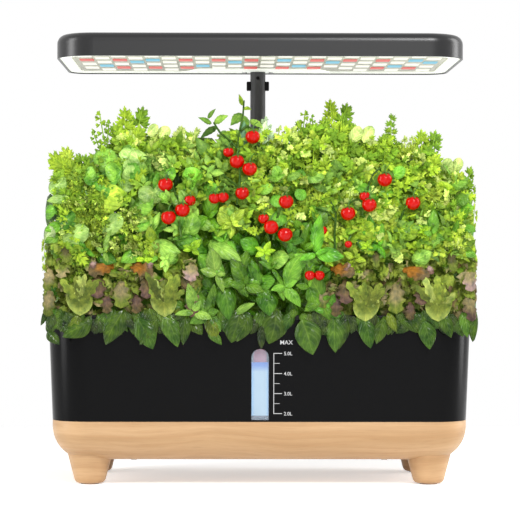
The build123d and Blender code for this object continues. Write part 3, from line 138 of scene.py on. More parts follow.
def connect(tree, node, inputs):
    """Sets inputs, by name or number, to values, to sockets or to the first outputs of other nodes."""
    for key, value in inputs.items():
        if isinstance(value, bpy.types.Node):
            value = value.outputs[0]
        if isinstance(value, bpy.types.NodeSocket):
            tree.links.new(value, node.inputs[key])
        else:
            node.inputs[key].default_value = value


def add_node(tree, kind, inputs=None, **settings):
    """Adds a shader node with its settings, its inputs and its links."""
    node = tree.nodes.new(kind)
    for name, value in settings.items():
        setattr(node, name, value)
    connect(tree, node, inputs or {})
    return node


def new_material(name, **principled):
    """A material with one Principled shader; returns the material, its tree and the shader."""
    material = bpy.data.materials.new(name)
    material.use_nodes = True
    tree = material.node_tree
    shader = next(n for n in tree.nodes if n.type == "BSDF_PRINCIPLED")
    connect(tree, shader, {key.replace("_", " "): value for key, value in principled.items()})
    return material, tree, shader


def finish_material(name, colour, roughness, grain=0.05, mottle=0.05, cells=MOULD_GRAIN, **principled):
    """A moulded, drawn or printed surface: fine grain in its height, its gloss and, a little, its colour."""
    material, tree, shader = new_material(name, **principled)
    place = add_node(tree, "ShaderNodeTexCoord").outputs["Object"]
    noise = add_node(tree, "ShaderNodeTexNoise", {"Vector": place, "Scale": cells, "Detail": 2.0})
    cloud = add_node(tree, "ShaderNodeTexNoise", {"Vector": place, "Scale": FLOW_CLOUDS})
    dark, light = (tuple(c * gain for c in colour[:3]) + (1.0,) for gain in (0.9, 1.1))
    shade = add_node(tree, "ShaderNodeMix", {0: cloud, 6: dark, 7: light}, data_type="RGBA").outputs[2]
    gloss = add_node(tree, "ShaderNodeMapRange", {0: noise, 3: roughness - mottle, 4: roughness + mottle})
    bump = add_node(tree, "ShaderNodeBump", {"Height": noise, "Strength": grain, "Distance": 0.0002})
    connect(tree, shader, {"Base Color": shade, "Roughness": gloss, "Normal": bump})
    return material


def oak_material():
    """Oak-grain transfer print under satin lacquer: fine streaks along the base over faint broad figure."""
    material, tree, shader = new_material("oak_print_abs", Roughness=0.4, Specular_IOR_Level=0.35)
    place = add_node(tree, "ShaderNodeTexCoord").outputs["Object"]
    bend = add_node(tree, "ShaderNodeTexNoise", {"Vector": place, "Scale": OAK_BEND, "Detail": 1.0})
    bent = {0: bend.outputs["Color"], 1: (0.0, 0.0, 0.03)}
    bent = add_node(tree, "ShaderNodeVectorMath", bent, operation="MULTIPLY")
    moved = add_node(tree, "ShaderNodeVectorMath", {0: place, 1: bent}, operation="ADD")
    layers = []
    for scale in (OAK_FIGURE, OAK_GRAIN, OAK_PORES):
        stretched = add_node(tree, "ShaderNodeMapping", {"Vector": moved, "Scale": scale})
        figure = {"Vector": stretched, "Scale": 1.0, "Detail": 4.0}
        layers.append(add_node(tree, "ShaderNodeTexNoise", figure))
    ramp = add_node(tree, "ShaderNodeValToRGB", {0: layers[0]})
    for stop, (at, colour) in zip(ramp.color_ramp.elements, ((0.34, "#b89166"), (0.64, "#cda87e"))):
        stop.position = at
        stop.color = linear(colour)
    streak = add_node(tree, "ShaderNodeMapRange", {0: layers[1], 1: 0.5, 2: 0.68, 3: 0.0, 4: 0.6})
    pore = add_node(tree, "ShaderNodeMapRange", {0: layers[2], 1: 0.54, 2: 0.72, 3: 0.0, 4: 0.4})
    whole = ramp.outputs[0]
    for share, colour in ((streak, "#c0966a"), (pore, "#a87f56")):
        layer = {0: share, 6: whole, 7: linear(colour)}
        whole = add_node(tree, "ShaderNodeMix", layer, data_type="RGBA").outputs[2]
    connect(tree, shader, {"Base Color": whole})
    return material


def lit_material(name, hex_colour, glow=1.0):
    """A frosted pad lit from behind, a little brighter where its frosting is thin."""
    black = (0, 0, 0, 1)
    material, tree, shader = new_material(name, Roughness=0.5, Emission_Strength=glow, Base_Color=black)
    place = add_node(tree, "ShaderNodeTexCoord").outputs["Object"]
    frost = add_node(tree, "ShaderNodeTexNoise", {"Vector": place, "Scale": FROST_CLOUDS})
    colour = np.array(linear(hex_colour)[:3])
    pads = {0: frost, 6: (*colour * 0.86, 1.0), 7: (*np.minimum(colour * 1.1, 1), 1.0)}
    shade = add_node(tree, "ShaderNodeMix", pads, data_type="RGBA").outputs[2]
    connect(tree, shader, {"Emission Color": shade})
    return material


def clear_rays(tree):
    """One for the camera's, mirrored and see-through rays, nothing for the rays that light the object."""
    path = add_node(tree, "ShaderNodeLightPath").outputs
    direct = {0: path["Is Camera Ray"], 1: path["Is Glossy Ray"]}
    direct = add_node(tree, "ShaderNodeMath", direct, operation="ADD")
    clear = {0: direct, 1: path["Is Transmission Ray"]}
    return add_node(tree, "ShaderNodeMath", clear, operation="ADD", use_clamp=True)


def leaf_material(name, roughness, vein, gloss=0.5, glow=0.1, relief=0.0002, patch=LEAF_PATCH, painted_highlight=0.0):
    """Living leaf: its own tint in patches of painted sun and painted shade, the sunny ones whiter still by a
    painted highlight, paler midrib and side veins, raised between the veins, paler underneath; the light that
    comes through the blade is painted as a weak glow of its own colour, which also lifts the shade.
    For u along the leaf and s away from the midrib, the side veins are the crests of the cosine of 30 times
    (u minus s times (0.35 plus 1.1 s)), so they leave the midrib at a slant and bend towards the tip."""
    # painted light: the leaf glows weakly in its own colour
    material, tree, shader = new_material(name, Specular_IOR_Level=gloss, Emission_Strength=glow)
    grown = add_node(tree, "ShaderNodeAttribute", attribute_name="tint").outputs["Color"]
    place = add_node(tree, "ShaderNodeTexCoord").outputs["Object"]
    cloud = add_node(tree, "ShaderNodeTexNoise", {"Vector": place, "Scale": patch, "Detail": 3.0})
    share = add_node(tree, "ShaderNodeMapRange", {0: cloud, 1: 0.32, 2: 0.68, 3: 0.0, 4: 1.0})
    # painted shade and painted light: a darker and a lighter copy of the tint, patch by patch; the last
    # argument adds a painted highlight to the lighter one
    shady = add_node(tree, "ShaderNodeVectorMath", {0: grown, 1: (0.62, 0.7, 0.75)}, operation="MULTIPLY")
    sunny = {0: grown, 1: (1.35 + painted_highlight, 1.26 + painted_highlight, 1.3 + 2 * painted_highlight), 2: (0.025, 0.025, 0.004)}
    sunny = add_node(tree, "ShaderNodeVectorMath", sunny, operation="MULTIPLY_ADD")
    tint = add_node(tree, "ShaderNodeMix", {0: share, 6: shady, 7: sunny}, data_type="RGBA").outputs[2]

    split = add_node(tree, "ShaderNodeSeparateXYZ", {0: add_node(tree, "ShaderNodeUVMap")})
    across = add_node(tree, "ShaderNodeMath", {0: split.outputs[1], 1: 0.5}, operation="SUBTRACT")
    side = add_node(tree, "ShaderNodeMath", {0: across}, operation="ABSOLUTE")
    arch = add_node(tree, "ShaderNodeMath", {0: side, 1: -1.1, 2: -0.35}, operation="MULTIPLY_ADD")
    slope = add_node(tree, "ShaderNodeMath", {0: side, 1: arch, 2: split}, operation="MULTIPLY_ADD")
    wave = add_node(tree, "ShaderNodeMath", {0: slope, 1: 30.0}, operation="MULTIPLY")
    ripple = add_node(tree, "ShaderNodeMath", {0: wave}, operation="COSINE")
    veins = add_node(tree, "ShaderNodeMapRange", {0: ripple, 1: 0.87, 2: 1.0, 3: 0.0, 4: 0.75})
    midrib = add_node(tree, "ShaderNodeMapRange", {0: side, 1: 0.012, 2: 0.045, 3: 1.0, 4: 0.0})
    ribs = add_node(tree, "ShaderNodeMath", {0: veins, 1: midrib}, operation="MAXIMUM")
    amount = add_node(tree, "ShaderNodeMath", {0: ribs, 1: vein}, operation="MULTIPLY")
    rib = {0: tint, 1: (1.9, 1.5, 1.8), 2: (0.03, 0.045, 0.008)}
    rib = add_node(tree, "ShaderNodeVectorMath", rib, operation="MULTIPLY_ADD")
    veined = add_node(tree, "ShaderNodeMix", {0: amount, 6: tint, 7: rib}, data_type="RGBA").outputs[2]

    under = add_node(tree, "ShaderNodeNewGeometry").outputs["Backfacing"]
    pale = add_node(tree, "ShaderNodeMath", {0: under, 1: 0.3}, operation="MULTIPLY")
    whole = {0: pale, 6: veined, 7: linear("#b3cf74")}
    whole = add_node(tree, "ShaderNodeMix", whole, data_type="RGBA").outputs[2]

    valley = add_node(tree, "ShaderNodeMapRange", {0: ripple, 1: -0.6, 2: 1.0, 3: 0.0, 4: 0.8})
    groove = add_node(tree, "ShaderNodeMapRange", {0: side, 1: 0.0, 2: 0.16, 3: 1.0, 4: 0.0})
    hollow = add_node(tree, "ShaderNodeMath", {0: valley, 1: groove}, operation="MAXIMUM")
    bump = add_node(tree, "ShaderNodeBump", {"Height": hollow, "Strength": 0.9, "Distance": -relief})
    sheen = {0: ripple, 1: -1.0, 3: roughness - 0.06, 4: roughness + 0.1}
    sheen = add_node(tree, "ShaderNodeMapRange", sheen)
    connect(tree, shader, {"Base Color": whole, "Emission Color": whole, "Roughness": sheen, "Normal": bump})
    return material


# ---------------------------------------------------------------- meshes
def mesh_object(name, verts, faces, material, tint=None, uv=None, smooth=True):
    """One object from its vertices (n, 3) and faces, with a tint and a uv per vertex."""
    mesh = bpy.data.meshes.new(name)
    faces = faces.tolist() if isinstance(faces, np.ndarray) else faces
    mesh.from_pydata(np.asarray(verts, float).tolist(), [], faces)
    if tint is not None:
        rgba = np.ones((len(verts), 4), np.float32)
        rgba[:, :3] = tint
        mesh.attributes.new("tint", "FLOAT_COLOR", "POINT").data.foreach_set("color", rgba.ravel())
    if uv is not None:
        loops = np.zeros(len(mesh.loops), np.int64)
        mesh.loops.foreach_get("vertex_index", loops)
        mesh.uv_layers.new(name="UVMap").data.foreach_set("uv", np.asarray(uv, np.float32)[loops].ravel())
    mesh.polygons.foreach_set("use_smooth", np.full(len(mesh.polygons), smooth))
    mesh.materials.append(material)
    mesh.update()
    item = bpy.data.objects.new(name, mesh)
    bpy.context.scene.collection.objects.link(item)
    return item


def grid_faces(count, rows, columns):
    """Quads of count separate grids of rows by columns vertices."""
    corner = (np.arange(rows - 1)[:, None] * columns + np.arange(columns - 1)[None, :]).ravel()
    quad = np.stack([corner, corner + 1, corner + columns + 1, corner + columns], 1)
    return (np.arange(count)[:, None, None] * rows * columns + quad[None]).reshape(-1, 4)


def unit(vectors):
    """Vectors of length one."""
    return vectors / np.maximum(np.linalg.norm(vectors, axis=-1, keepdims=True), 1e-9)


def blade_axes(run, facing):
    """Unit vectors along each blade, out of its face and across it, each (n, 1, 1, 3)."""
    along = unit(run)
    normal = unit(facing - (facing * along).sum(1, keepdims=True) * along)
    return (axis[:, None, None] for axis in (along, normal, np.cross(along, normal)))


class Bunch:
    """Collects vertex grids that share one material and makes one object of them."""

    def __init__(self):
        self.verts, self.faces, self.tints, self.uvs, self.size = [], [], [], [], 0

    def add(self, points, tint, uv, flip=False):
        """Adds grids of points (n, rows, columns, 3), with tints and uvs that broadcast to them."""
        faces = grid_faces(*points.shape[:3]) + self.size
        self.verts.append(points.reshape(-1, 3))
        self.faces.append(faces[:, ::-1] if flip else faces)
        self.tints.append(np.broadcast_to(tint, points.shape).reshape(-1, 3))
        self.uvs.append(np.broadcast_to(uv, (*points.shape[:3], 2)).reshape(-1, 2))
        self.size += points.size // 3

    def build(self, name, material, body, nodes, slot):
        """Joins everything into one object that rides on a body and stands for CAD nodes."""
        verts, faces, tint, uv = map(np.concatenate, (self.verts, self.faces, self.tints, self.uvs))
        item = mesh_object(name, verts, faces, material, tint, uv)
        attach(item, body)
        if nodes:
            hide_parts(*nodes)
        return item


# half width of each kind of leaf along its length, as a share of its full half width
def form_ovate(u):
    """Widest a third of the way up, with a drawn-out tip: the sine of pi u to the power 0.82, to the power
    0.75, times one minus 0.08 u."""
    return np.sin(pi * u**0.82) ** 0.75 * (1 - 0.08 * u)


def form_round(u):
    """Nearly round blade: one minus the distance from the middle to the power 2.3, to the power 0.55."""
    return np.maximum(1 - np.abs(2 * u - 1) ** 2.3, 0) ** 0.55


def form_lobed(u):
    """Oak leaf: broad towards the end, with three and a half waves of a quarter of its width for lobes."""
    blade = 0.3 + 0.7 * np.sin(pi * u**1.25) ** 0.7
    return blade * (1 + 0.26 * np.sin(2 * pi * (3.5 * u + 0.2))) * (u < 0.99)


def form_toothed(u):
    """Pointed blade: the sine of pi u to the power 0.7, to the power 0.9, with five coarse teeth."""
    return np.sin(pi * u**0.7) ** 0.9 * (0.82 + 0.18 * np.abs(np.sin(2 * pi * 2.5 * u)))


def add_leaves(
    bunch, base, tip, facing, width, colour, rng, form=form_ovate, rows=11, columns=7,
    droop=0.9, ruffle=0.0, blister=0.0, tips=None, tips_from=0.55, dome=0.25,
):
    """Leaf grids. Each midrib is an arc of the given droop from base to tip, bulging towards facing. A point
    at u along and v across sits at arc(u) plus side times width times form(u) times v, and rises by the dome
    between midrib and margin, by blisters between the side veins and by ruffles that grow with v squared."""
    base, tip, facing = (np.asarray(a, float).reshape(-1, 3) for a in (base, tip, facing))
    n = len(base)
    chord = tip - base
    along, normal, side = blade_axes(chord, facing)
    u = np.linspace(0, 1, rows)[None, :, None]
    v = np.linspace(-1, 1, columns)[None, None, :]
    width = np.broadcast_to(width, n)[:, None, None]
    bend = max(droop, 0.05)
    scale = (np.linalg.norm(chord, axis=1) / (2 * np.sin(bend / 2)))[:, None, None]
    turn = bend * (u - 0.5)
    run = scale * (np.sin(turn) + np.sin(bend / 2))
    rise = scale * (np.cos(turn) - np.cos(bend / 2))
    half = width / 2 * np.maximum(form(u), 0.02)
    phase = rng.uniform(0, 2 * pi, n)[:, None, None]
    wobble = rng.uniform(0.8, 1.25, n)[:, None, None]
    hump = np.abs(v) * (1 - np.abs(v))
    lift = half * (
        dome * (2.2 * hump - v**2)
        + blister * 4 * hump * np.sin(2 * pi * (7 * u - 1.4 * np.abs(v)) + phase)
        + ruffle * v**2 * np.sin(2 * pi * (3.3 * wobble * u) + phase + 1.7 * np.sign(v))
    )
    sway = 0.1 * half * np.sin(pi * u + phase)
    out = np.cos(turn)[..., None] * normal + np.sin(turn)[..., None] * along
    points = base[:, None, None] + run[..., None] * along + rise[..., None] * normal
    points = points + (half * v + sway)[..., None] * side + lift[..., None] * out
    # painted shade: each blade is up to 22 percent darker at its margin; the sine gives each leaf a random
    # tone
    shade = (1 + 0.1 * np.sin(phase + 5 * u + 2 * v)) * (1 - 0.22 * v**6)
    shade = np.asarray(colour, float).reshape(n, 1, 1, 3) * shade[..., None]
    if tips is not None:
        share = np.clip((u - tips_from + 0.25 * v**2) / 0.3, 0, 1)[..., None]
        shade = shade * (1 - share) + np.asarray(tips, float).reshape(n, 1, 1, 3) * share
    bunch.add(points, np.clip(shade, 0, 1), np.stack(np.broadcast_arrays(u, 0.5 + 0.5 * v), -1))


def add_leaflets(
    bunch, base, along, facing, radius, colour, rng, lobes=3, teeth=0.12, curl=0.0, rings=4, spokes=23
):
    """Fan leaflets on polar grids: radius times (0.62 plus 0.38 times the cosine lobes) times (1 plus the
    teeth), over 155 degrees round the leaflet's foot, cupped a little and curled at the edge."""
    base, along, facing = (np.asarray(a, float).reshape(-1, 3) for a in (base, along, facing))
    n = len(base)
    along, normal, side = blade_axes(along, facing)
    ring = np.append(np.linspace(0.04, 0.78, rings - 1), 1.0)[None, :, None]
    angle = np.linspace(-1.0, 1.0, spokes)[None, None, :]
    phase = rng.uniform(0, 2 * pi, n)[:, None, None]
    reach = (1 - 0.45 * np.abs(angle) ** 1.5) * (0.62 + 0.38 * np.abs(np.cos(pi * lobes / 2 * angle)))
    edge = reach * (1 + teeth * np.where(np.arange(spokes) % 2, 1, -1)[None, None, :])
    radius = np.broadcast_to(radius, n)[:, None, None]
    turn = 1.35 * angle
    out = radius * (ring * reach * (ring < 1) + edge * (ring == 1))
    cup = 0.25 * ring**2 - 0.08 * np.sin(3 * phase) * ring
    lift = radius * (curl * ring**2 * np.sin(7 * angle + phase) - cup)
    points = base[:, None, None] + (out * np.cos(turn))[..., None] * along
    points = points + (out * np.sin(turn))[..., None] * side + lift[..., None] * normal
    shade = (0.82 + 0.26 * ring + 0.08 * np.cos(6 * pi * angle))[..., None]
    shade = np.asarray(colour, float).reshape(n, 1, 1, 3) * shade
    bunch.add(points, np.clip(shade, 0, 1), np.stack(np.broadcast_arrays(ring, 0.5 + 0.42 * angle), -1))


def add_tubes(bunch, paths, radius, colour, sides=5):
    """Round stems: paths (n, k, 3) with a radius per path and point, swept with a fixed frame."""
    paths = np.asarray(paths, float)
    radius = np.broadcast_to(np.asarray(radius, float), paths.shape[:2])
    along = unit(np.gradient(paths, axis=1))
    helper = np.where(np.abs(along[..., 2:3]) > 0.9, np.array([1.0, 0, 0]), np.array([0, 0, 1.0]))
    first = unit(np.cross(along, helper))
    second = np.cross(along, first)
    turn = np.linspace(0, 2 * pi, sides + 1)[:, None]
    ring = np.cos(turn) * first[:, :, None] + np.sin(turn) * second[:, :, None]
    points = paths[:, :, None] + radius[..., None, None] * ring
    bunch.add(points, np.asarray(colour, float).reshape(-1, 1, 1, 3), 0.25)


def add_berries(bunch, centre, radius, colour, rows=9, columns=15):
    """Cherry tomatoes: spheres a twentieth less high than wide, with a dimple at the top."""
    polar = np.linspace(0.0, pi, rows)[None, :, None]
    turn = np.linspace(0, 2 * pi, columns)[None, None, :]
    dimple = 1 - 0.16 * np.exp(-((polar / 0.35) ** 2))
    sphere = (np.sin(polar) * np.cos(turn), np.sin(polar) * np.sin(turn), 0.95 * dimple * np.cos(polar))
    sphere = np.stack(np.broadcast_arrays(*sphere), -1)
    points = centre[:, None, None] + radius[:, None, None, None] * sphere
    bunch.add(points, colour[:, None, None], 0.25, flip=True)


# ---------------------------------------------------------------- planting plan
TINTS = {
    # b4, a paler basil green, is painted highlight: leaves that catch the light
    "b1": "#4f8f1c", "b2": "#66a22a", "b3": "#356a14", "b4": "#84b440", "b5": "#4a7a12", "b6": "#7f9c22",
    "b7": "#8fbc22", "s1": "#548c26", "s2": "#68982e", "s3": "#98b634", "s4": "#88ac50", "g1": "#869e5e",
    "c1": "#93b42c", "c2": "#a4bf3c", "c3": "#80a428", "c4": "#6c9424", "c5": "#afc566", "c6": "#527a22",
    "p1": "#98b53c", "p2": "#7b9f2e", "p3": "#b2c760", "p4": "#527824",
    "t1": "#5e8630", "t2": "#7da640", "t3": "#33561c", "t4": "#b4d09c", "t5": "#4f7a55",
    "l1": "#965f16", "l2": "#6c5a3a", "l3": "#879c36", "l4": "#adc05c", "l5": "#a89c6a", "l6": "#74564e",
    # d1 and d2 are near-black greens, painted shade: chiefly for the leaves deep inside the hedge
    "l7": "#6b7c2a", "l8": "#b89c92", "l9": "#4c4828", "d1": "#1d3a12", "d2": "#2b5018",
}

# outline of the plants in mm: x and height of the top, height and how far forward or back the leaves reach
CROWN = (
    (-209, 225), (-202, 290), (-186, 304), (-168, 302), (-156, 314), (-140, 326), (-121, 342), (-102, 330),
    (-56, 334), (-9, 340), (14, 336), (65, 346), (82, 346), (90, 334), (116, 330), (135, 322), (160, 320),
    (172, 304), (186, 298), (197, 278), (206, 225),
)
FRONT = ((130, -95), (225, -92), (300, -74), (350, -45), (375, -25))
BACK = ((175, 51), (300, 50), (350, 36), (375, 15))
HALF_SPREAD = 205  # half width of the plants
# painted light and shade: leaves are darker the lower their tips, lighter towards the top
PAINTED_LIGHT_BY_HEIGHT = ((0.13, 0.24), (0.18, 0.58), (0.24, 0.97), (0.34, 1.22))  # height in metres, brightness of leaves
EDGES = ((0, -0.2, 0.2, 0.0065), (1, -0.094, 0.05, 0.0072))  # axis, low, high and room past them, in metres

# single leaves: base x z, tip x z, width in mm, tint
BROAD = """
-188 262 -202 257 11 s1
-184 247 -202 240 12 b2
-186 236 -203 229 10 s2
-176 272 -200 268 12 s4
186 262 201 262 13 b2
188 246 203 240 12 s1
176 284 196 286 13 s2
184 226 203 216 12 b2
-58 218 -33 198 19 b2
-49 231 -18 212 18 b4
-37 196 -29 156 21 b1
-57 184 -51 152 13 b2
-1 221 -19 232 18 b1
9 212 27 216 21 b4
-2 204 -9 184 16 b2
-3 191 14 194 17 b1
17 199 22 175 12 b2
3 188 9 161 22 b1
-19 168 -27 136 27 b5
16 168 8 135 27 b5
1 152 1 130 9 d2
39 158 49 125 26 b2
-46 161 -43 138 15 b6
51 202 32 219 21 b2
-61 236 -67 252 8 b4
53 249 48 265 18 b5
39 236 33 251 12 b5
-31 247 -30 262 21 b4
-24 163 -5 173 9 b4
-154 217 -134 211 16 b3
-112 222 -130 211 16 b2
-105 229 -74 220 16 b4
-101 227 -104 245 11 b6
-103 239 -94 258 9 b4
-74 237 -60 250 10 b4
-158 155 -184 141 19 b5
-170 162 -176 140 14 b6
-127 168 -144 134 22 b5
-137 170 -143 140 13 b3
-114 159 -100 130 22 b1
-97 158 -112 134 14 b5
-89 165 -77 132 19 b2
-68 164 -72 134 13 b5
-10 162 -22 137 15 b5
69 161 70 127 19 b2
79 163 73 130 14 b5
96 160 103 131 17 b1
115 158 108 135 13 b5
119 164 127 146 10 b6
153 157 158 130 17 b1
170 165 178 141 14 b5
203 165 198 137 13 b5
189 165 193 141 12 b2
142 212 160 221 17 b4
156 222 168 233 13 b4
165 244 162 262 14 b5
187 252 196 262 11 b5
181 233 185 251 8 b5
-198 147 -187 134 11 b5
-48 147 -36 134 11 b2
"""
ROUND = """
-157 300 -137 315 24 s2
-155 283 -131 297 22 s1
-156 262 -131 280 30 s3
-133 288 -114 302 21 s1
-199 277 -183 290 19 s4
-203 252 -193 263 13 s1
-204 229 -194 244 15 g1
-189 229 -160 242 21 s4
-193 242 -173 256 22 b3
-150 240 -128 252 20 s4
-121 258 -100 270 24 s2
-107 268 -92 284 18 s4
-20 246 -38 262 24 s3
47 245 62 262 20 t1
36 230 48 247 17 b3
-75 268 -60 282 20 t1
-55 270 -41 284 21 s1
131 236 147 245 18 c3
88 236 106 247 22 c1
-107 332 -97 341 11 c5
-95 328 -87 340 12 c5
88 325 95 341 12 c5
99 325 107 341 12 c5
172 296 180 309 12 c5
183 296 189 310 11 c5
"""
SHARP = """
-46 344 -59 349 6 t1
-50 349 -42 358 5 t1
-44 345 -30 351 9 t2
-35 337 -31 321 12 t1
-41 341 -57 328 8 t3
-17 354 -28 341 11 t1
-15 352 -12 332 9 t1
-9 348 3 338 8 t2
-16 362 -20 373 5 c1
-15 360 -8 357 5 c1
-31 310 -32 330 13 t1
-48 310 -61 330 14 t1
-16 318 -15 346 12 t5
1 328 6 346 11 t4
65 308 80 297 11 t1
86 278 90 293 13 t1
105 282 113 296 9 t1
-22 318 -36 323 7 t3
-5 308 5 317 8 t2
56 286 70 296 13 t1
73 262 86 250 12 t1
34 262 22 275 12 t1
-104 296 -120 306 11 t2
-84 296 -96 309 11 t1
140 292 150 280 11 t2
24 250 16 264 13 t1
"""
# rosettes: x z, length of the longest leaf in mm, tint
ROSETTES = """
-64 224 12 b7
4 221 13 b7
-108 214 10 b7
-27 248 17 s3
-88 214 13 b4
28 230 15 b3
152 240 10 b7
62 214 9 b7
100 226 10 b7
"""
# tomatoes: x, z, radius in mm
TOMATOES = (
    (-7, 330, 7.1), (-30, 315, 5.2), (-22, 306, 7.1), (-10, 299, 7.1),
    (-89, 284, 7.1), (-66, 269, 5.6), (-73, 260, 7.1), (-86, 253, 7.1),
    (-43, 271, 5.6), (-35, 272, 5.6), (-17, 276, 6.6),
    (24, 268, 7.1), (3, 252, 5.2), (10, 244, 7.1), (23, 237, 7.1),
    (117, 289, 7.1), (98, 273, 5.2), (102, 265, 7.1), (82, 257, 7.1), (143, 267, 7.1),
    (58, 241, 4.5), (82, 228, 3.6), (46, 199, 4.9), (55, 199, 4.9),
)
# vines: x and z of their bends in mm
VINES = (
    ((-15, 366), (-16, 352), (-19, 338), (-21, 322), (-20, 308), (-19, 293), (-20, 279), (-22, 265)),
    ((-44, 344), (-38, 334), (-28, 326), (-20, 317)),
    ((-37, 296), (-31, 290), (-22, 283)),
    ((-8, 338), (-12, 341), (-18, 336)),
    ((113, 300), (106, 294), (102, 284), (98, 270), (95, 255)),
    ((82, 266), (90, 270), (98, 268)),
    ((-88, 294), (-82, 282), (-78, 270), (-76, 250), (-74, 235)),
    ((-66, 282), (-72, 278), (-78, 272)),
    ((23, 277), (19, 262), (15, 250), (12, 232)),
    ((66, 268), (71, 256), (69, 236), (70, 222)),
    ((52, 262), (62, 258), (70, 250)),
    ((140, 274), (135, 261), (130, 249)),
)

# sprigs: foot x z, head x z, spread in mm, kind, tint
SPRIGS = """
-167 290 -199 312 26 c c1
-168 294 -188 320 22 c c2
-172 286 -180 306 20 c c1
-160 296 -172 314 16 c c4
-146 314 -154 356 15 d c3
-146 318 -144 346 12 d c4
-150 312 -160 338 12 d c4
-128 322 -130 361 22 c c1
-120 324 -112 360 24 c c4
-128 312 -140 344 20 c c3
-122 310 -116 342 24 c c1
-134 306 -126 334 22 c c2
-104 318 -96 336 14 f p3
-84 318 -74 340 15 f c5
-74 312 -60 340 15 f c5
8 320 6 350 16 d t4
14 318 20 342 14 d c5
42 296 36 346 17 f c3
50 290 52 340 18 f c1
34 286 28 332 16 f c4
40 326 44 357 13 d c3
52 330 50 352 11 d c4
70 330 68 368 20 c c1
76 326 84 364 22 c c4
66 318 60 350 18 c c3
76 312 78 346 22 c c1
84 316 92 342 16 c c3
104 310 104 338 15 f c1
114 308 118 334 15 f c3
124 300 126 354 15 f c4
130 302 124 340 14 f c3
138 306 138 332 10 f c5
146 308 145 332 10 f c5
154 300 154 338 22 c c1
160 304 168 336 22 c c4
160 290 150 322 22 c c3
166 286 164 316 24 c c1
178 268 182 302 20 c c5
190 270 200 300 18 c c4
198 262 206 284 14 c c3
198 236 205 266 18 d c2
186 240 194 262 18 d c5
-202 200 -206 232 14 c p1
100 232 104 262 30 c c2
72 226 66 250 20 f c2
"""

# leaves and frills of the lettuce: base x z, tip x z, width in mm, tint and tint of the tip
FRILLS = """
-137 208 -160 200 13 l1 l2
-122 208 -100 199 13 l1 l2
-152 199 -152 177 15 l2 l6
-106 199 -106 177 14 l2 l6
-143 181 -143 163 10 l6 l2
-116 181 -116 163 10 l6 l2
-130 193 -130 168 16 l5 l3
-155 212 -156 205 6 l8 l6
-103 212 -103 205 6 l8 l6
-196 204 -201 184 13 l5 l7
-196 184 -199 160 14 l5 l7
-182 226 -181 210 9 l9 l7
-181 211 -186 196 11 l7 l5
-64 211 -65 193 13 l5 l8
-63 186 -64 160 14 l5 l6
-74 197 -67 187 9 l9 l2
66 206 88 200 13 l1 l2
134 205 158 198 14 l1 l2
80 195 80 172 14 l2 l6
150 192 150 171 13 l2 l6
70 180 70 160 11 l6 l2
140 174 140 157 9 l6 l2
127 191 127 163 16 l5 l3
56 186 60 168 13 l5 l7
82 211 80 203 6 l8 l6
158 208 160 200 6 l8 l6
194 206 197 184 13 l5 l8
194 182 198 156 13 l5 l6
178 221 180 203 9 l9 l7
108 222 108 206 8 l9 l7
"""

# hearts of the lettuce: x and z of the middle in mm
HEARTS = ((-168, 179), (-89, 178), (98, 174), (166, 174))

# areas that are filled with leaves: x low, x high, z low, z high, count, length in mm, tints, kind
AREAS = """
-188 -150 236 292 150 11 p1,p3,p2,c2 curly
-156 -104 214 262 170 11 p1,p3,p2,c2 curly
-186 -168 205 250 60 11 p1,p3,p2 curly
-192 -112 268 330 90 15 c1,c3,c4,p2 celery
-150 -60 300 340 110 12 c5,p3,c3,p2 coriander
-193 -160 214 268 50 14 c3,c1,p2 celery
-165 -100 262 318 34 22 s1,s2,s4 round
-112 -58 214 300 34 20 s1,s2,b2 round
-112 -4 240 340 150 14 t1,t2,c3,c4 tomato
-70 10 262 344 110 13 c3,c1,p1,c6 celery
-12 64 238 345 150 14 c1,c3,c4,c2 celery
0 60 250 345 70 12 c5,c2,p3 coriander
0 62 236 300 26 18 s2,s1,t1 round
55 195 224 340 330 15 c1,c3,c4,c2 celery
60 195 216 335 230 13 c5,c2,c1,p3 coriander
60 195 214 300 44 17 s2,b2,c3,c1 round
60 195 214 300 60 14 t1,t2,c4 tomato
-66 -8 152 244 14 28 b1,b2,b4,b5 basil
-8 62 150 222 14 28 b1,b2,b4,b5 basil
-68 64 162 246 190 25 b3,b5,b1 broad
-193 -60 206 236 22 17 b1,b2,b6,b4 basil
60 195 206 236 22 17 b1,b2,b6,b7 basil
"""


def table(text, words):
    """Rows of a text table: the numbers as one array and the lists of words that end the rows."""
    rows = [line.split() for line in text.strip().splitlines()]
    return np.array([[float(v) for v in row[:-words]] for row in rows]), [row[-words:] for row in rows]


def tints(names):
    """Linear colours of tint names, (n, 3)."""
    return np.array([linear(TINTS[name])[:3] for name in names])


def pick(rng, names, count):
    """Linear colours of count leaves, drawn from comma-separated tint names and made lighter or darker."""
    return tints(rng.choice(names.split(","), count)) * rng.uniform(0.62, 1.14, (count, 1))


def patches(rng, names, tip):
    """Linear colours of leaves at points tip, drawn from comma-separated tint names: leaves that grow beside
    each other share a tint, by two crossing sine waves along the front."""
    x, z = tip[:, 0] / MM, tip[:, 2] / MM
    waves = 0.5 + 0.28 * np.sin(x / 9 + z / 19) + 0.28 * np.sin(z / 8 - x / 21)
    share = waves + rng.normal(0, 0.1, len(tip))
    names = names.split(",")
    rank = np.clip(share * len(names), 0, len(names) - 1).astype(int)
    return tints(np.array(names)[rank]) * rng.uniform(0.6, 1.3, (len(tip), 1))


def along_line(at, line):
    """Second value of a broken line, given as pairs, where its first value is at."""
    return np.interp(at, *zip(*line))


def on_front(x, z, behind):
    """Points, in mm, on the front of the plants, set back by so many mm."""
    x, z = np.asarray(x, float), np.asarray(z, float)
    return np.stack([x, along_line(z, FRONT) + behind, z], -1)


def light_at(tip):
    """Brightness of leaves with their tips at these points in metres: painted light and shade, darker lower
    down.
    """
    return along_line(tip[:, 2:3], PAINTED_LIGHT_BY_HEIGHT)


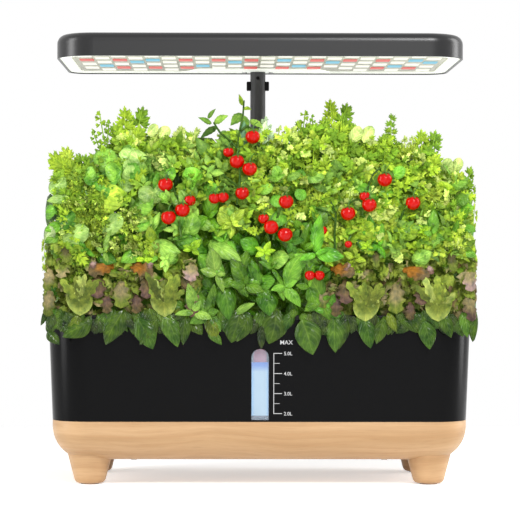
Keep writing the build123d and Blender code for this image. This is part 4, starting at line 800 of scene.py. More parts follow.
def shade_at(tip):
    """The same for leaves that sit deeper between the others: painted shade makes them darker the deeper they
    sit.
    """
    deep = tip[:, 1] / MM - along_line(tip[:, 2] / MM, FRONT)
    return 1.06 - 0.03 * np.clip(deep, 0, 14)[:, None]


def forwards(rng, count, spread, low, high):
    """Facings of count leaves: to the front, turned aside by a normal spread and up by low to high."""
    return np.stack([rng.normal(0, spread, count), np.full(count, -1.0), rng.uniform(low, high, count)], 1)


def crowd(rng, x_low, x_high, z_low, z_high, count, length):
    """Bases, tips, facings and lengths, in metres, of the leaves that fill one area on the plants' front.
    They lean outwards by up to half at the ends of the row."""
    x = rng.uniform(x_low, x_high, count)
    z = rng.uniform(z_low, np.minimum(z_high, along_line(x, CROWN) - 3))
    deep = rng.uniform(-3, 13, count)
    lean = rng.normal(0, 0.55, count) + 0.5 * x / HALF_SPREAD
    way = unit(np.stack([lean, np.full(count, -0.4), rng.uniform(-0.5, 1.0, count)], 1))
    length = length * rng.uniform(0.75, 1.3, count)
    tip = on_front(x, z, deep) + 0.4 * length[:, None] * way
    facing = forwards(rng, count, 0.35, 0.1, 1.0)
    facing[:, 0] += 0.3 * x / HALF_SPREAD
    return (tip - length[:, None] * way) * MM, tip * MM, facing, length * MM


def area_leaves(kind, rng):
    """The leaves that fill every area of one kind, area by area, in metres, with their colours, which get
    painted shade lower down and deeper in.
    """
    rows, words = table(AREAS, 2)
    for row, (names, area_kind) in zip(rows, words):
        if area_kind == kind:
            count = max(1, int(row[4] * bpy.context.scene.garden.density))
            base, tip, facing, length = crowd(rng, *row[:4], count, row[5])
            yield base, tip, facing, length, patches(rng, names, tip) * light_at(tip) * shade_at(tip)


def shell(rng, count, side):
    """The same as crowd for the rear, the left, the right or the top of the plants. The top curves down
    towards its front and back edge, and both ends are wavy and lean in above 262 mm."""
    z = rng.uniform(182, 338 if side == "rear" else 298, count)
    if side == "rear":
        x = rng.uniform(-198, 198, count)
        z = np.minimum(z, along_line(x, CROWN) - 8)
        y = along_line(z, BACK) - rng.uniform(0, 14, count)
        out = np.array([0.0, 1.0, 0.0])
    elif side == "top":
        x = rng.uniform(-190, 190, count)
        z = along_line(x, CROWN) - rng.uniform(4, 20, count)
        share = rng.uniform(0, 1, count)
        y = along_line(z, FRONT) + (along_line(z, BACK) - along_line(z, FRONT)) * share
        z = z - 60 * np.maximum(np.abs(share - 0.5) * 2 - 0.5, 0) ** 2
        out = np.array([0.0, 0.0, 1.0])
    else:
        sign = -1.0 if side == "left" else 1.0
        reach = 184 + 7 * np.sin((z - 253) / 3.7) - rng.uniform(0, 12, count)
        x = sign * (reach - np.maximum(z - 262, 0) * 0.3)
        y = rng.uniform(along_line(z, FRONT) + 8, along_line(z, BACK) - 4)
        out = np.array([sign, 0.0, 0.0])
    spread = [rng.normal(0, 0.5, count), rng.normal(0, 0.5, count), rng.uniform(-0.4, 1, count)]
    way = unit(out * 0.5 + np.stack(spread, 1))
    length = 19 * rng.uniform(0.75, 1.25, count)
    tip = np.stack([x, y, z], 1)
    facing = out + rng.normal(0, 0.35, (count, 3)) + np.array([0, 0, 0.5])
    return (tip - length[:, None] * way) * MM, tip * MM, facing, length * MM


def within(bunch):
    """Presses leaf points that reach past the plants' overall width and depth back inside, in their order:
    what is over becomes the room times the hyperbolic tangent of it by twice the room."""
    for verts in bunch.verts:
        for axis, low, high, room in EDGES:
            over = np.maximum(verts[:, axis] - high, 0) - np.maximum(low - verts[:, axis], 0)
            verts[:, axis] += room * np.tanh(over / (2 * room)) - over


def add_divided(bunch, base, tip, facing, size, colour, rng, pairs=1, leaflet=add_leaflets, **how):
    """Divided leaves: one leaflet at the tip and pairs of smaller ones down the stalk."""
    axis = tip - base
    side = unit(np.cross(axis, facing))
    for k in range(-pairs, pairs + 1):
        rank = abs(k)
        spot = base + axis * (0.62 - 0.26 * rank)
        along = unit(axis) + np.sign(k) * 1.1 * side
        turned = facing + rng.normal(0, 0.25, facing.shape)
        reach = size * (1 - 0.16 * rank)
        shade = colour * rng.uniform(0.88, 1.1, (len(base), 1))
        if leaflet is add_leaflets:
            add_leaflets(bunch, spot, along, turned, reach, shade, rng, **how)
        else:
            end = spot + unit(along) * reach[:, None]
            add_leaves(bunch, spot, end, turned, 0.55 * reach, shade, rng, **how)


def add_rosettes(bunch, centre, facing, length, colour, rng, count=7, **how):
    """Whorls of leaves that grow from small and upright in the middle to large and spread at the rim, each
    2.4 radians on from the last."""
    for k in range(count):
        share = k / (count - 1)
        angle = 2.4 * k + rng.uniform(0, 1.4, len(centre))
        out = np.stack([np.cos(angle), -0.5 + 0.35 * share + 0 * angle, np.sin(angle)], 1)
        reach = length * (0.42 + 0.58 * share) * rng.uniform(0.75, 1.2, len(centre))
        tilt = facing + np.stack([-0.5 * np.cos(angle), 0 * angle, -0.5 * np.sin(angle)], 1)
        tilt = tilt + rng.normal(0, 0.35, tilt.shape)
        shade = colour * (1.18 - 0.3 * share)
        start = centre + np.array([0.0, -0.004 * (1 - share), 0.0])
        add_leaves(bunch, start, start + unit(out) * reach[:, None], tilt, 0.6 * reach, shade, rng, **how)


def add_hearts(bunch, rng, fans=11):
    """Lettuce hearts: a bowl of three round leaves with pale rims, and frilled leaves that rise out of it in
    a fan."""
    for x, z in HEARTS:
        bowl = on_front([x, x - 3, x + 4], [z + 17, z + 12, z + 13], -1) * MM
        rim = on_front([x, x - 7, x + 8], [z - 18, z - 9, z - 8], [-5, -6, -6.5]) * MM
        add_leaves(
            bunch, bowl, rim, [[0, -1, 0.1], [-0.5, -1, 0.1], [0.5, -1, 0.1]], np.array([25, 11, 11]) * MM,
            tints(["l7", "l3", "l7"]) * 0.62, rng, form=form_round, rows=17, columns=13, ruffle=0.1,
            dome=0.42, tips=tints(["l4", "l3", "l3"]) * 0.7, tips_from=0.72,
        )
        angle = np.linspace(-0.7, 0.7, fans) + rng.normal(0, 0.08, fans)
        out = np.stack([np.sin(angle), 0 * angle, np.cos(angle)], 1)
        foot = on_front(x, z - 9, -6) + 2 * out
        head = foot + rng.uniform(15, 36, (fans, 1)) * out - np.array([0, 1.0, 0])
        facing = np.stack([0.4 * np.sin(angle), -1 + 0 * angle, 0.3 + 0 * angle], 1)
        shade = pick(rng, "l3,l4,l3,l7", fans) * 0.8
        width = rng.uniform(5, 8, fans) * MM
        add_leaves(
            bunch, foot * MM, head * MM, facing, width, shade * 0.6, rng, form=form_lobed, rows=17, columns=9,
            ruffle=0.45, dome=0.15, tips=shade, tips_from=0.6,
        )


def add_rim(bunch, rng, count=170):
    """Short dark leaves that fold over the tank's edge all along its front and hide it."""
    x = rng.uniform(-201, 203, count)
    z = rng.uniform(154, 168, count)
    base = on_front(x, z, rng.uniform(-1, 3, count)) * MM
    low = np.maximum(z - rng.uniform(9, 20, count), rng.uniform(141, 146, count))
    tip = on_front(x + rng.normal(0, 7, count), low, rng.uniform(-3, 1, count)) * MM
    facing = forwards(rng, count, 0.3, 0.0, 0.5)
    # painted shade: the lower a leaf's tip, the darker the leaf, on top of its dark tint
    shade = pick(rng, "b3,b5,d2,p4,b5", count) * light_at(tip)
    width = rng.uniform(8, 13, count) * MM
    add_leaves(bunch, base, tip, facing, width, shade, rng, blister=0.04, dome=0.34, columns=9)


def add_rows(bunch, text, rng, words=1, ahead=0, **how):
    """Adds the single leaves of one table, each facing forwards and up. Leaves that start low stand further
    forward, so that they hang in front of the tank."""
    rows, names = table(text, words)
    start = along_line(rows[:, 1], ((158, -3), (176, 7)))
    end = along_line(rows[:, 1], ((158, -8), (176, -4)))
    base = on_front(rows[:, 0], rows[:, 1], start - ahead) * MM
    tip = on_front(rows[:, 2], rows[:, 3], end - ahead) * MM
    width = rows[:, 4] * MM * bpy.context.scene.garden.leaf_width
    facing = forwards(rng, len(rows), 0.18, 0.25, 0.6)
    # painted light and shade: the lower a leaf's tip, the darker the leaf
    light = light_at(tip)
    if words == 2:
        how["tips"] = tints([name[1] for name in names]) * light
    add_leaves(bunch, base, tip, facing, width, tints([name[0] for name in names]) * light, rng, **how)


def add_shell(bunch, rng, counts, share, names, **how):
    """Adds single leaves on several sides of the plants, with widths that are a share of their lengths."""
    for side, count in counts.items():
        base, tip, facing, length = shell(rng, count, side)
        add_leaves(bunch, base, tip, facing, share * length, pick(rng, names, count), rng, **how)


def add_divided_shell(bunch, rng, counts, size, names, **how):
    """The same with divided leaves, whose leaflets are a share of their lengths."""
    for side, count in counts.items():
        base, tip, facing, length = shell(rng, count, side)
        add_divided(bunch, base, tip, facing, size * length, pick(rng, names, count), rng, **how)


# ---------------------------------------------------------------- settings
class GardenSettings(bpy.types.PropertyGroup):
    """What a user may change before the plants are grown."""

    seed: IntProperty(name="Seed", description="Seed of the leaf arrangement", default=7, min=0)
    density: FloatProperty(
        name="Density", description="Number of filling leaves, 1 as modelled", default=1.0, min=0.1, max=2.0
    )
    water_level: FloatProperty(
        name="Water level", description="Height of the water surface", default=0.1172, unit="LENGTH",
        subtype="DISTANCE",
    )
    leaf_width: FloatProperty(
        name="Leaf width", description="Width of the single leaves, 1 as modelled", default=1.0, min=0.3
    )
    tank_colour: FloatVectorProperty(
        name="Tank colour", description="Colour of the tank, the deck and the pole's fittings",
        default=linear("#060607")[:3], subtype="COLOR", min=0, max=1,
    )
    fruit_colour: FloatVectorProperty(
        name="Fruit colour", description="Colour of the ripe tomatoes", default=linear("#c20600")[:3],
        subtype="COLOR", min=0, max=1,
    )


def rng_for(number):
    """A random generator of its own for each piece."""
    return np.random.default_rng(bpy.context.scene.garden.seed * 100 + number)


# ---------------------------------------------------------------- operators
class GARDEN_OT_hardware(bpy.types.Operator):
    """Gives the CAD nodes of the hardware their finishes"""

    bl_idname = "garden.hardware"
    bl_label = "Finish Hardware"

    def execute(self, context):
        def finish(name, hex_colour, roughness, **how):
            """A finish material from a hex colour."""
            return finish_material(name, linear(hex_colour), roughness, **how)

        tank_colour = context.scene.garden.tank_colour
        finishes = {
            # ABS with a transfer print: satin oak
            "oak_print_abs": oak_material(),
            # moulded ABS: deep black, with weak and fairly sharp reflections
            "black_abs": finish_material("black_abs", tank_colour, 0.2, mottle=0.03, Specular_IOR_Level=0.08),
            # moulded polypropylene with a fine grain: duller than ABS
            "black_pp": finish("black_pp", "#0c0c0d", 0.5, grain=0.15, Specular_IOR_Level=0.2),
            # drawn and black-anodised aluminium: satin dark grey
            "black_aluminium": finish("black_aluminium", "#464648", 0.45, Specular_IOR_Level=0.2),
            # polished polycarbonate: clear, with sharp highlights
            "clear_pc": finish("clear_pc", "#dcecff", 0.08, grain=0.01, mottle=0.02, Alpha=0.2),
            # foamed polypropylene: matt pink
            "pink_float": finish("pink_float", "#a83450", 0.45),
            # white polycarbonate, given a painted glow for the light of the boards behind it: even and bright
            "white_pc": finish(
                "white_pc", "#f2f4ee", 0.4, Emission_Color=linear("#eef2e8"), Emission_Strength=0.55
            ),
            # frosted acrylic: matt, slightly warm white
            "diffuser_pmma": finish("diffuser_pmma", "#dcdacc", 0.5),
            # frosted pads over the diodes: flat glowing colour
            "white_light": lit_material("white_light", "#fdfbea"),
            "red_light": lit_material("red_light", "#e0655c"),
            "blue_light": lit_material("blue_light", "#74c2da"),
            # white solder mask on glass-epoxy: dull white
            "circuit_board": finish("circuit_board", "#dfe2dc", 0.5),
            # zinc-plated steel: bright, with fine tool marks
            "steel": finish("steel", "#b8b8b8", 0.3, cells=STEEL_GRAIN, Metallic=1.0),
            # silicone rubber and extruded PVC: matt black
            "silicone": finish("silicone", "#1c1c1c", 0.6),
            "pvc_lead": finish("pvc_lead", "#151515", 0.5),
            # pressed peat and open foam: rough, with no sheen
            "peat_sponge": finish("peat_sponge", "#3a2c20", 0.93, grain=0.8),
            "filter_foam": finish("filter_foam", "#202020", 0.93, grain=0.8),
        }
        # the lamp's ABS, lightly textured: greyer than the tank's
        lamp_black = finish("lamp_black_abs", "#19191a", 0.3, Specular_IOR_Level=0.4)
        slots = {part["node"]: part["material_slot"] for part in frame["record"]["subparts"]}
        for name, item in frame["nodes"].items():
            if slots[name] in finishes:
                item.data.materials.clear()
                item.data.materials.append(lamp_black if name == "lamp_housing" else finishes[slots[name]])
        return {"FINISHED"}


def front_wall(height):
    """Where the tank's sloping front wall is at a height."""
    low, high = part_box("water_tank")
    return low[1] + (high[2] - height) * np.tan(radians(TANK_DRAFT))


def water_material(level):
    """Water in a dark tank, painted as lit from above: pale blue that glows a little of its own, darker blue
    towards its sides and darkest in a band under its surface.
    """
    # painted light: the water glows a little in its own colour
    material, tree, shader = new_material("tank_water", Roughness=0.15, Emission_Strength=0.45)
    place = add_node(tree, "ShaderNodeTexCoord").outputs["Object"]
    split = add_node(tree, "ShaderNodeSeparateXYZ", {0: place})
    side = add_node(tree, "ShaderNodeMath", {0: split}, operation="ABSOLUTE")
    edge = add_node(tree, "ShaderNodeMapRange", {0: side, 1: 0.005, 2: WATER_HALF, 3: 0.0, 4: 1.0})
    surface = {0: split.outputs[2], 1: level - 0.009, 2: level - 0.003, 3: 0.0, 4: 1.0}
    surface = add_node(tree, "ShaderNodeMapRange", surface)
    whole = linear("#8fa8b8")
    for share, colour in ((edge, "#6c9cc4"), (surface, "#4a6fb0")):
        layer = {0: share, 6: whole, 7: linear(colour)}
        whole = add_node(tree, "ShaderNodeMix", layer, data_type="RGBA").outputs[2]
    connect(tree, shader, {"Base Color": whole, "Emission Color": whole})
    return material


class GARDEN_OT_water(bpy.types.Operator):
    """Fills the sight window with water, a box in two bands that follows the sloping wall"""

    bl_idname = "garden.water"
    bl_label = "Add Water"

    def execute(self, context):
        level = context.scene.garden.water_level
        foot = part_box("sight_window")[0][2] + WATER_FOOT
        corners = ((-WATER_HALF, 0), (WATER_HALF, 0), (WATER_HALF, WATER_DEPTH), (-WATER_HALF, WATER_DEPTH))
        heights = (foot, level - WATER_BAND, level)
        verts = [(x, front_wall(z) + WATER_BACK + y, z) for z in heights for x, y in corners]
        faces = [[0, 3, 2, 1], [8, 9, 10, 11]]
        for k in (0, 4):
            faces += [[k + i, k + (i + 1) % 4, k + 4 + (i + 1) % 4, k + 4 + i] for i in range(4)]
        water = mesh_object("tank_water", verts, faces, water_material(level), smooth=False)
        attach(water, "tank")
        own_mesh(water)
        return {"FINISHED"}


def word_mesh(text, x, foot, size):
    """Vertices, in metres and flat in the plane of the front, and faces of one printed word."""
    curve = bpy.data.curves.new("label", "FONT")
    curve.body, curve.size, curve.offset = text, size * MM, 0.00003
    holder = bpy.data.objects.new("label", curve)
    bpy.context.scene.collection.objects.link(holder)
    bpy.context.view_layer.update()
    flat = bpy.data.meshes.new_from_object(holder.evaluated_get(bpy.context.evaluated_depsgraph_get()))
    points = np.array([v.co for v in flat.vertices], float)
    points = np.stack([points[:, 0] + x * MM, 0 * points[:, 0], points[:, 1] + foot * MM], 1)
    polygons = [list(p.vertices) for p in flat.polygons]
    bpy.data.objects.remove(holder)
    bpy.data.meshes.remove(flat)
    bpy.data.curves.remove(curve)
    return points, polygons


class GARDEN_OT_scale(bpy.types.Operator):
    """Prints the level scale on the tank: a line, a tick at each litre and half litre, and their words"""

    bl_idname = "garden.scale"
    bl_label = "Print Scale"

    def execute(self, context):
        bars = [(*SCALE_X, *SCALE_Z)]
        words = [MAX_WORD]
        for k, height in enumerate(LITRES):
            marks = [(height, *LITRE_TICK)]
            if height > LITRES[-1]:
                marks.append((height - HALF_DROP, *HALF_TICK))
            bars += [(SCALE_X[1], end, middle - half, middle + half) for middle, end, half in marks]
            words.append((f"{5 - k}.0L", WORD_X, height - WORD_DROP, WORD_SIZE))
        pieces = []
        for x0, x1, z0, z1 in bars:
            corners = np.array([(x0, 0, z0), (x1, 0, z0), (x1, 0, z1), (x0, 0, z1)], float)
            pieces.append((corners * MM, [[0, 1, 2, 3]]))
        pieces += [word_mesh(*word) for word in words]
        verts, faces = [], []
        for points, polygons in pieces:
            points[:, 1] = front_wall(points[:, 2]) - INK
            faces += [[i + len(verts) for i in polygon] for polygon in polygons]
            verts += points.tolist()
        # screen-printed ink, painted as a flat off-white glow of its own, so that it stays legible on the
        # dark wall
        ink = lit_material("self_lit_print", "#e8e8e8", 0.9)
        scale = mesh_object("level_scale", verts, faces, ink, smooth=False)
        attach(scale, "tank")
        return {"FINISHED"}


class GARDEN_OT_basil(bpy.types.Operator):
    """Grows the basil and the leaves that hang in front of the tank"""

    bl_idname = "garden.basil"
    bl_label = "Grow Basil"

    def execute(self, context):
        rng = rng_for(1)
        bunch = Bunch()
        add_rows(bunch, BROAD, rng, droop=0.75, blister=0.10, dome=0.34, rows=15, columns=9)
        rows, names = table(ROSETTES, 1)
        centre = on_front(rows[:, 0], rows[:, 1], 0) * MM
        facing = np.tile([0.0, -1.0, 0.35], (len(rows), 1))
        colour = tints([name[0] for name in names])
        add_rosettes(bunch, centre, facing, rows[:, 2] * MM, colour, rng, count=9, droop=0.8, dome=0.3)
        add_rim(bunch, rng)
        for base, tip, facing, length, colour in area_leaves("broad", rng):
            back = np.array([0.0, 0.012, 0.0])
            # painted shade: the broad leaves set 12 mm back are 0.85 times as bright
            width, shade = 0.62 * length, 0.85 * colour
            add_leaves(bunch, base + back, tip + back, facing, width, shade, rng, blister=0.1, dome=0.34)
        for base, tip, facing, length, colour in area_leaves("basil", rng):
            centre = tip + np.array([0.0, 0.008, 0.0])
            add_rosettes(
                bunch, centre, facing, 0.9 * length, colour, rng, count=4, blister=0.1, dome=0.34, rows=13,
                columns=9,
            )
        counts = {"rear": 60, "top": 30, "left": 20, "right": 20}
        add_shell(bunch, rng, counts, 0.6, "b1,b2,b3", rows=7, columns=5)
        within(bunch)
        # smooth, quilted and oily: crisp highlights between deep veins, from the lamps and from a highlight
        # painted into the sunny patches
        leaf = leaf_material("basil_leaf", 0.22, 0.5, gloss=0.2, relief=0.0004, patch=BROAD_PATCH, painted_highlight=0.3)
        bunch.build("basil_leaves", leaf, "deck", ["basil_plants", "hanging_leaves"], "basil_leaf")
        return {"FINISHED"}


class GARDEN_OT_lettuce(bpy.types.Operator):
    """Grows the oak-leaf lettuce at both ends of the front row"""

    bl_idname = "garden.lettuce"
    bl_label = "Grow Lettuce"

    def execute(self, context):
        rng = rng_for(2)
        bunch = Bunch()
        add_hearts(bunch, rng)
        frills = {"form": form_lobed, "ruffle": 0.3, "dome": 0.3, "rows": 17, "columns": 11}
        add_rows(bunch, FRILLS, rng, words=2, ahead=3, **frills)
        # count, z low, z high, length in mm, tints and tints of the tips, from the foot of the heads upwards
        tiers = (
            (90, 160, 192, 13, "l7,l3,l3,l5", "l3,l7,l5,l2"),
            (110, 176, 212, 13, "l3,l7,l4,c4", "l3,l7,l5"),
            (60, 200, 226, 12, "l7,l3,p1,c4", "l7,l3,p1"),
        )
        back = np.array([0.0, 0.005, 0.0])
        for low, high in ((-203, -58), (50, 204)):
            for count, z_low, z_high, size, names, tip_names in tiers:
                base, tip, facing, length = crowd(rng, low, high, z_low, z_high, count, size)
                # painted light and shade: darker lower down and deeper in
                shade = light_at(tip) * shade_at(tip)
                colour = pick(rng, names, count) * shade
                tips = pick(rng, tip_names, count) * shade
                add_leaves(
                    bunch, base + back, tip + back, facing, 0.8 * length, colour, rng, form=form_lobed,
                    rows=15, columns=7, ruffle=0.42, dome=0.1, tips=tips,
                )
        for side, count in (("left", 90), ("right", 90), ("rear", 60)):
            base, tip, facing, length = shell(rng, count, side)
            drop = np.maximum(tip[:, 2:3] - 0.215, 0) * np.array([0, 0, 1.0])
            colour, tips = pick(rng, "l3,l7,l5", count), pick(rng, "l2,l7,l3", count)
            add_leaves(
                bunch, base - drop, tip - drop, facing, 0.75 * length, colour, rng, form=form_lobed, rows=9,
                columns=7, ruffle=0.4, tips=tips,
            )
        within(bunch)
        # thin and crinkled: soft sheen, faint veins
        leaf = leaf_material("lettuce_leaf", 0.5, 0.3, gloss=0.15)
        bunch.build("lettuce_leaves", leaf, "deck", ["lettuce_plants"], "lettuce_leaf")
        return {"FINISHED"}


class GARDEN_OT_celery(bpy.types.Operator):
    """Grows the leaf celery and the sprigs that stand above the others"""

    bl_idname = "garden.celery"
    bl_label = "Grow Celery"

    def execute(self, context):
        rng = rng_for(3)
        bunch = Bunch()
        # leaflets, their share of the spread, lobes and teeth of celery, dill-like and flat-leaved sprigs
        kinds = {"c": (7, 0.5, 5, 0.08), "d": (8, 0.34, 2, 0.06), "f": (13, 0.38, 5, 0.12)}
        rows, words = table(SPRIGS, 2)
        for (x0, z0, x1, z1, spread), (kind, name) in zip(rows, words):
            count, size, lobes, teeth = kinds[kind]
            base, crown = on_front(x0, z0, 10), on_front(x1, z1, 2)
            share = np.linspace(0.3, 1, count)
            side = np.where(np.arange(count) % 2, 1, -1) * np.sin(pi * np.clip(share * 0.9, 0, 1)) ** 0.6
            side[-1] = 0
            spots = base + share[:, None] * (crown - base) + rng.uniform(-1, 1, (count, 3)) * (1.2, 4, 1.2)
            spots[:, 0] += side * spread * 0.32
            aside = np.stack([side * 0.9, np.full(count, -0.25), np.full(count, 0.15)], 1)
            along = unit(crown - base)[None] + aside
            reach = spread * size * rng.uniform(0.8, 1.15, count)
            facing = forwards(rng, count, 0.3, 0.1, 0.7)
            spots = (spots - unit(along) * reach[:, None] * 0.9) * MM
            shade = tints([name] * count) * rng.uniform(0.82, 1.12, (count, 1))
            leaflets = {"lobes": lobes, "teeth": teeth, "spokes": 35}
            add_leaflets(bunch, spots, along, facing, reach * MM, shade, rng, **leaflets)
            path = base + np.linspace(0, 1, 5)[:, None] * (crown - base)
            add_tubes(bunch, path[None] * MM, 0.0006, tints([name]) * 1.1)
        celery = {"lobes": 3, "teeth": 0.22, "curl": 0.1, "rings": 3, "spokes": 13}
        for base, tip, facing, length, colour in area_leaves("celery", rng):
            add_divided(bunch, base, tip, facing, 0.52 * length, colour, rng, **celery)
        within(bunch)
        # thin and dry: soft sheen, hardly any veins
        leaf = leaf_material("celery_leaf", 0.45, 0.2, gloss=0.12)
        bunch.build("celery_leaves", leaf, "deck", ["parsley_plants"], "parsley_leaf")
        outer = Bunch()
        counts = {"rear": 150, "top": 110, "left": 75, "right": 75}
        add_divided_shell(outer, rng, counts, 0.5, "c1,c3,c4,p2", teeth=0.18, rings=3, spokes=13)
        within(outer)
        outer.build("celery_outer_leaves", leaf, "deck", [], "parsley_leaf")
        return {"FINISHED"}


class GARDEN_OT_parsley(bpy.types.Operator):
    """Grows the coriander and the curly parsley between the celery"""

    bl_idname = "garden.parsley"
    bl_label = "Grow Parsley"

    def execute(self, context):
        rng = rng_for(6)
        counts = {"rear": 60, "top": 60, "left": 60, "right": 60}
        coriander = {"lobes": 2, "teeth": 0.08, "curl": 0.12, "rings": 3, "spokes": 17}
        curly = {"lobes": 3, "teeth": 0.2, "curl": 0.5, "rings": 3, "spokes": 9, "pairs": 2}
        for kind, name, size, how in (
            ("coriander", "coriander_leaves", 0.5, coriander),
            ("curly", "curly_parsley", 0.34, curly),
        ):
            bunch = Bunch()
            for base, tip, facing, length, colour in area_leaves(kind, rng):
                add_divided(bunch, base, tip, facing, size * length, colour, rng, **how)
            add_divided_shell(bunch, rng, counts, size, "p1,p3,c3", **how)
            within(bunch)
            # thin and dry: matt, hardly any veins
            leaf = leaf_material(name + "_leaf", 0.5, 0.15, gloss=0.12)
            bunch.build(name, leaf, "deck", [], "parsley_leaf")
        return {"FINISHED"}


class GARDEN_OT_spinach(bpy.types.Operator):
    """Grows the round-leaved spinach and the dark leaves inside the hedge, which paint the shade between the
    others
    """

    bl_idname = "garden.spinach"
    bl_label = "Grow Spinach"

    def execute(self, context):
        rng = rng_for(4)
        bunch = Bunch()
        add_rows(bunch, ROUND, rng, form=form_round, droop=0.5, blister=0.16, dome=0.2, rows=13, columns=9)
        for base, tip, facing, length, colour in area_leaves("round", rng):
            add_leaves(bunch, base, tip, facing, 0.8 * length, colour, rng, form=form_round, blister=0.12)
        # inside the hedge, painted shade: dark leaves deep behind the front stand for the shade in the gaps;
        # count, depth behind its front in mm, tints
        for count, reach, names in ((460, 27, "d2,b3,c6,p4"), (380, 44, "d1,d2,b3")):
            x = rng.uniform(-194, 194, count)
            z = rng.uniform(160, along_line(x, CROWN) - 20, count)
            tip = on_front(x, z, reach)
            tip[:, 1] += rng.uniform(-3, 10, count)
            way = [rng.normal(0, 0.6, count), np.full(count, -0.3), rng.uniform(-0.6, 1, count)]
            length = rng.uniform(24, 38, count)
            base = tip - length[:, None] * unit(np.stack(way, 1))
            facing = forwards(rng, count, 0.3, 0, 0.5)
            colour = pick(rng, names, count)
            width = 0.85 * length * MM
            add_leaves(
                bunch, base * MM, tip * MM, facing, width, colour, rng, form=form_round, rows=5, columns=5
            )
        within(bunch)
        # fleshy and smooth: crisp highlights, from the lamps and painted into the sunny patches; pale veins
        look = {"gloss": 0.2, "relief": 0.0004, "patch": BROAD_PATCH, "painted_highlight": 0.3}
        leaf = leaf_material("spinach_leaf", 0.24, 0.5, **look)
        bunch.build("spinach_leaves", leaf, "deck", ["spinach_plant"], "spinach_leaf")
        return {"FINISHED"}


def add_vines(bunch, points=15):
    """Tomato stems from 1.8 to 2.6 mm thick through the bends of every vine."""
    for vine in VINES:
        x, z = np.array(vine, float).T
        bends = on_front(x, z, -4)
        at = np.linspace(0, len(bends) - 1, points)
        path = np.stack([np.interp(at, np.arange(len(bends)), bends[:, k]) for k in range(3)], 1)
        add_tubes(bunch, path[None] * MM, np.linspace(0.0009, 0.0013, points)[None], tints(["t3"]))


def add_calyx(bunch, centre, radius, rng, sepals=5):
    """A star of narrow sepals round the axis of every fruit, which leans to the front, and a bent stalk."""
    turn = np.arange(sepals) * 2 * pi / sepals
    lean = np.array([0.0, -0.35, 1.0])
    size = radius[:, None, None]
    top = centre[:, None] + unit(lean) * size * 0.9
    spread = np.stack([np.cos(turn), 0.9 * np.sin(turn), 0.35 * np.sin(turn)], 1)[None] * size
    base = np.broadcast_to(top, spread.shape).reshape(-1, 3)
    tip = (top + 0.8 * spread - unit(lean) * 0.12 * size).reshape(-1, 3)
    facing = np.tile(lean, (len(base), 1))
    add_leaves(bunch, base, tip, facing, 0.0018, tints(["b3"] * len(base)), rng, rows=6, columns=3)
    rise = np.array([[0.0, 0.0, 0.1], [0.1, 0.2, 0.5], [0.35, 0.5, 0.9], [0.7, 0.9, 1.2]])
    add_tubes(bunch, top + rise[None] * size, 0.0005, tints(["b3"] * len(centre)))


class GARDEN_OT_tomato(bpy.types.Operator):
    """Grows the tomato vines with their leaves and fruit"""

    bl_idname = "garden.tomato"
    bl_label = "Grow Tomatoes"

    def execute(self, context):
        rng = rng_for(5)
        bunch = Bunch()
        toothed = {"form": form_toothed, "columns": 5}
        add_rows(bunch, SHARP, rng, form=form_toothed, droop=0.6, blister=0.08, rows=17)
        for base, tip, facing, length, colour in area_leaves("tomato", rng):
            add_divided(bunch, base, tip, facing, 0.8 * length, colour, rng, leaflet=add_leaves, **toothed)
        add_shell(bunch, rng, {"rear": 90, "top": 70}, 0.6, "t1,t2,t3", rows=9, **toothed)
        add_vines(bunch)
        within(bunch)
        # hairy: matt, with plain veins
        leaf = leaf_material("tomato_leaf", 0.42, 0.3, gloss=0.15)
        bunch.build("tomato_leaves", leaf, "deck", ["tomato_plants"], "tomato_plant")

        fruit, calyx = Bunch(), Bunch()
        x, z, radius = np.array(TOMATOES).T
        radius = radius * MM
        centre = on_front(x, z, -5) * MM
        centre[:, 1] = np.maximum(centre[:, 1], radius - FRUIT_REACH)
        add_berries(fruit, centre, radius, tints(["l1"] * len(centre)))
        # ripe skin: smooth, with a small sharp highlight
        colour = context.scene.garden.fruit_colour
        skin = finish_material("tomato_skin", colour, 0.06, grain=0.01, mottle=0.03, Specular_IOR_Level=0.2)
        fruit.build("tomato_fruit", skin, "deck", [], "tomato_plant")
        add_calyx(calyx, centre, radius, rng)
        within(calyx)
        calyx.build("tomato_calyx", leaf_material("tomato_calyx", 0.5, 0.0), "deck", [], "tomato_plant")
        return {"FINISHED"}


class GARDEN_OT_stems(bpy.types.Operator):
    """Grows the stalks that rise from every pod and spread with the height to the power 1.5"""

    bl_idname = "garden.stems"
    bl_label = "Grow Stems"

    def execute(self, context):
        stems = Bunch()
        low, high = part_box("plant_stems")
        share = np.linspace(0, 1, 7)
        away = 0.02 * (0.12 + share**1.5)
        paths = []
        for x in np.linspace(low[0] + STEM_R, high[0] - STEM_R, POD_COLUMNS):
            for y in (low[1] + STEM_R, high[1] - STEM_R):
                for angle in np.arange(STEM_SHOOTS) * 2 * pi / STEM_SHOOTS + x * 40:
                    path = [x + away * np.cos(angle), y + away * np.sin(angle), low[2] + share * STEM_RISE]
                    paths.append(np.stack(path, 1))
        radius = np.linspace(0.0014, 0.0008, 7)[None]
        add_tubes(stems, np.array(paths), radius, tints(["t2"] * len(paths)), sides=7)
        # fresh stalks: matt green
        stalk = leaf_material("green_stem", 0.5, 0.0)
        stems.build("green_stems", stalk, "deck", ["plant_stems"], "plant_stem")
        return {"FINISHED"}


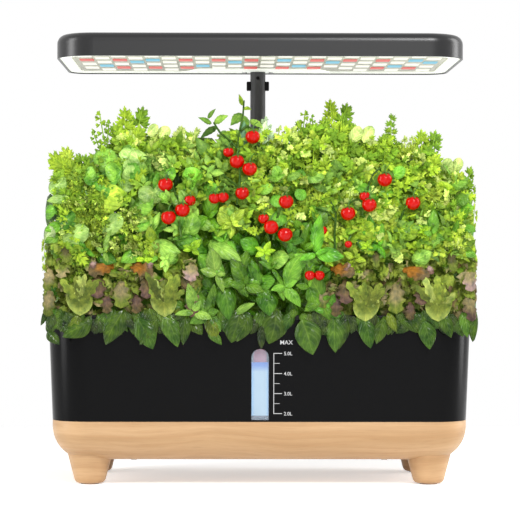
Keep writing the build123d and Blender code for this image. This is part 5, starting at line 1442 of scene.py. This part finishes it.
class GARDEN_OT_stage(bpy.types.Operator):
    """Sets up the floor, the lamps and the camera"""

    bl_idname = "garden.stage"
    bl_label = "Set Stage"

    def execute(self, context):
        scene = context.scene
        scene.view_settings.view_transform = "Standard"
        white = linear("#ffffff")
        paper, tree, shader = new_material(
            "floor_white", Roughness=0.9, Specular_IOR_Level=0.1, Base_Color=white, Emission_Color=white
        )
        glow = {0: clear_rays(tree), 1: FLOOR_GLOW}
        glow = add_node(tree, "ShaderNodeMath", glow, operation="MULTIPLY")
        connect(tree, shader, {"Emission Strength": glow})
        floor = mesh_object("floor", FLOOR, [[0, 1, 2, 3]], paper, smooth=False)

        scene.world = bpy.data.worlds.new("studio")
        scene.world.use_nodes = True
        tree = scene.world.node_tree
        tree.nodes.clear()
        seen = add_node(tree, "ShaderNodeBackground", {"Color": white, "Strength": SEEN_GLOW})
        fill = add_node(tree, "ShaderNodeBackground", {"Color": white, "Strength": FILL_GLOW})
        mix = add_node(tree, "ShaderNodeMixShader", {0: clear_rays(tree), 1: fill, 2: seen})
        add_node(tree, "ShaderNodeOutputWorld", {0: mix})

        for name, place, aim, size, power in LAMPS:
            data = bpy.data.lights.new(name, "AREA")
            data.shape, data.size, data.size_y, data.energy = "RECTANGLE", *size, power
            lamp = bpy.data.objects.new(name, data)
            lamp.location = place
            lamp.rotation_euler = (Vector(aim) - Vector(place)).to_track_quat("-Z", "Y").to_euler()
            scene.collection.objects.link(lamp)

        data = bpy.data.cameras.new("camera")
        data.lens, data.sensor_width, data.shift_x = CAMERA_LENS, CAMERA_SENSOR, CAMERA_SHIFT
        camera = bpy.data.objects.new("camera", data)
        camera.location = CAMERA_PLACE
        camera.rotation_euler = [radians(angle) for angle in CAMERA_TURN]
        scene.collection.objects.link(camera)
        scene.camera = camera
        return {"FINISHED"}


STEPS = (
    GARDEN_OT_hardware,
    GARDEN_OT_water,
    GARDEN_OT_scale,
    GARDEN_OT_basil,
    GARDEN_OT_lettuce,
    GARDEN_OT_celery,
    GARDEN_OT_parsley,
    GARDEN_OT_spinach,
    GARDEN_OT_tomato,
    GARDEN_OT_stems,
    GARDEN_OT_stage,
)


class GARDEN_PT_panel(bpy.types.Panel):
    """The garden's settings and steps"""

    bl_idname = "GARDEN_PT_panel"
    bl_label = "Hydroponic Garden"
    bl_space_type = "VIEW_3D"
    bl_region_type = "UI"
    bl_category = "Garden"

    def draw(self, context):
        for name in GardenSettings.__annotations__:
            self.layout.prop(context.scene.garden, name)
        for step in STEPS:
            self.layout.operator(step.bl_idname)


def register():
    """Registers the settings, the operators and the panel."""
    bpy.utils.register_class(GardenSettings)
    for step in STEPS:
        bpy.utils.register_class(step)
    bpy.utils.register_class(GARDEN_PT_panel)
    bpy.types.Scene.garden = PointerProperty(type=GardenSettings)


def unregister():
    """Takes them all away again."""
    del bpy.types.Scene.garden
    bpy.utils.unregister_class(GARDEN_PT_panel)
    for step in reversed(STEPS):
        bpy.utils.unregister_class(step)
    bpy.utils.unregister_class(GardenSettings)


def main():
    """Runs every step in order."""
    register()
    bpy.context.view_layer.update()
    for step in STEPS:
        group, name = step.bl_idname.split(".")
        getattr(getattr(bpy.ops, group), name)()


if __name__ == "__main__":
    main()
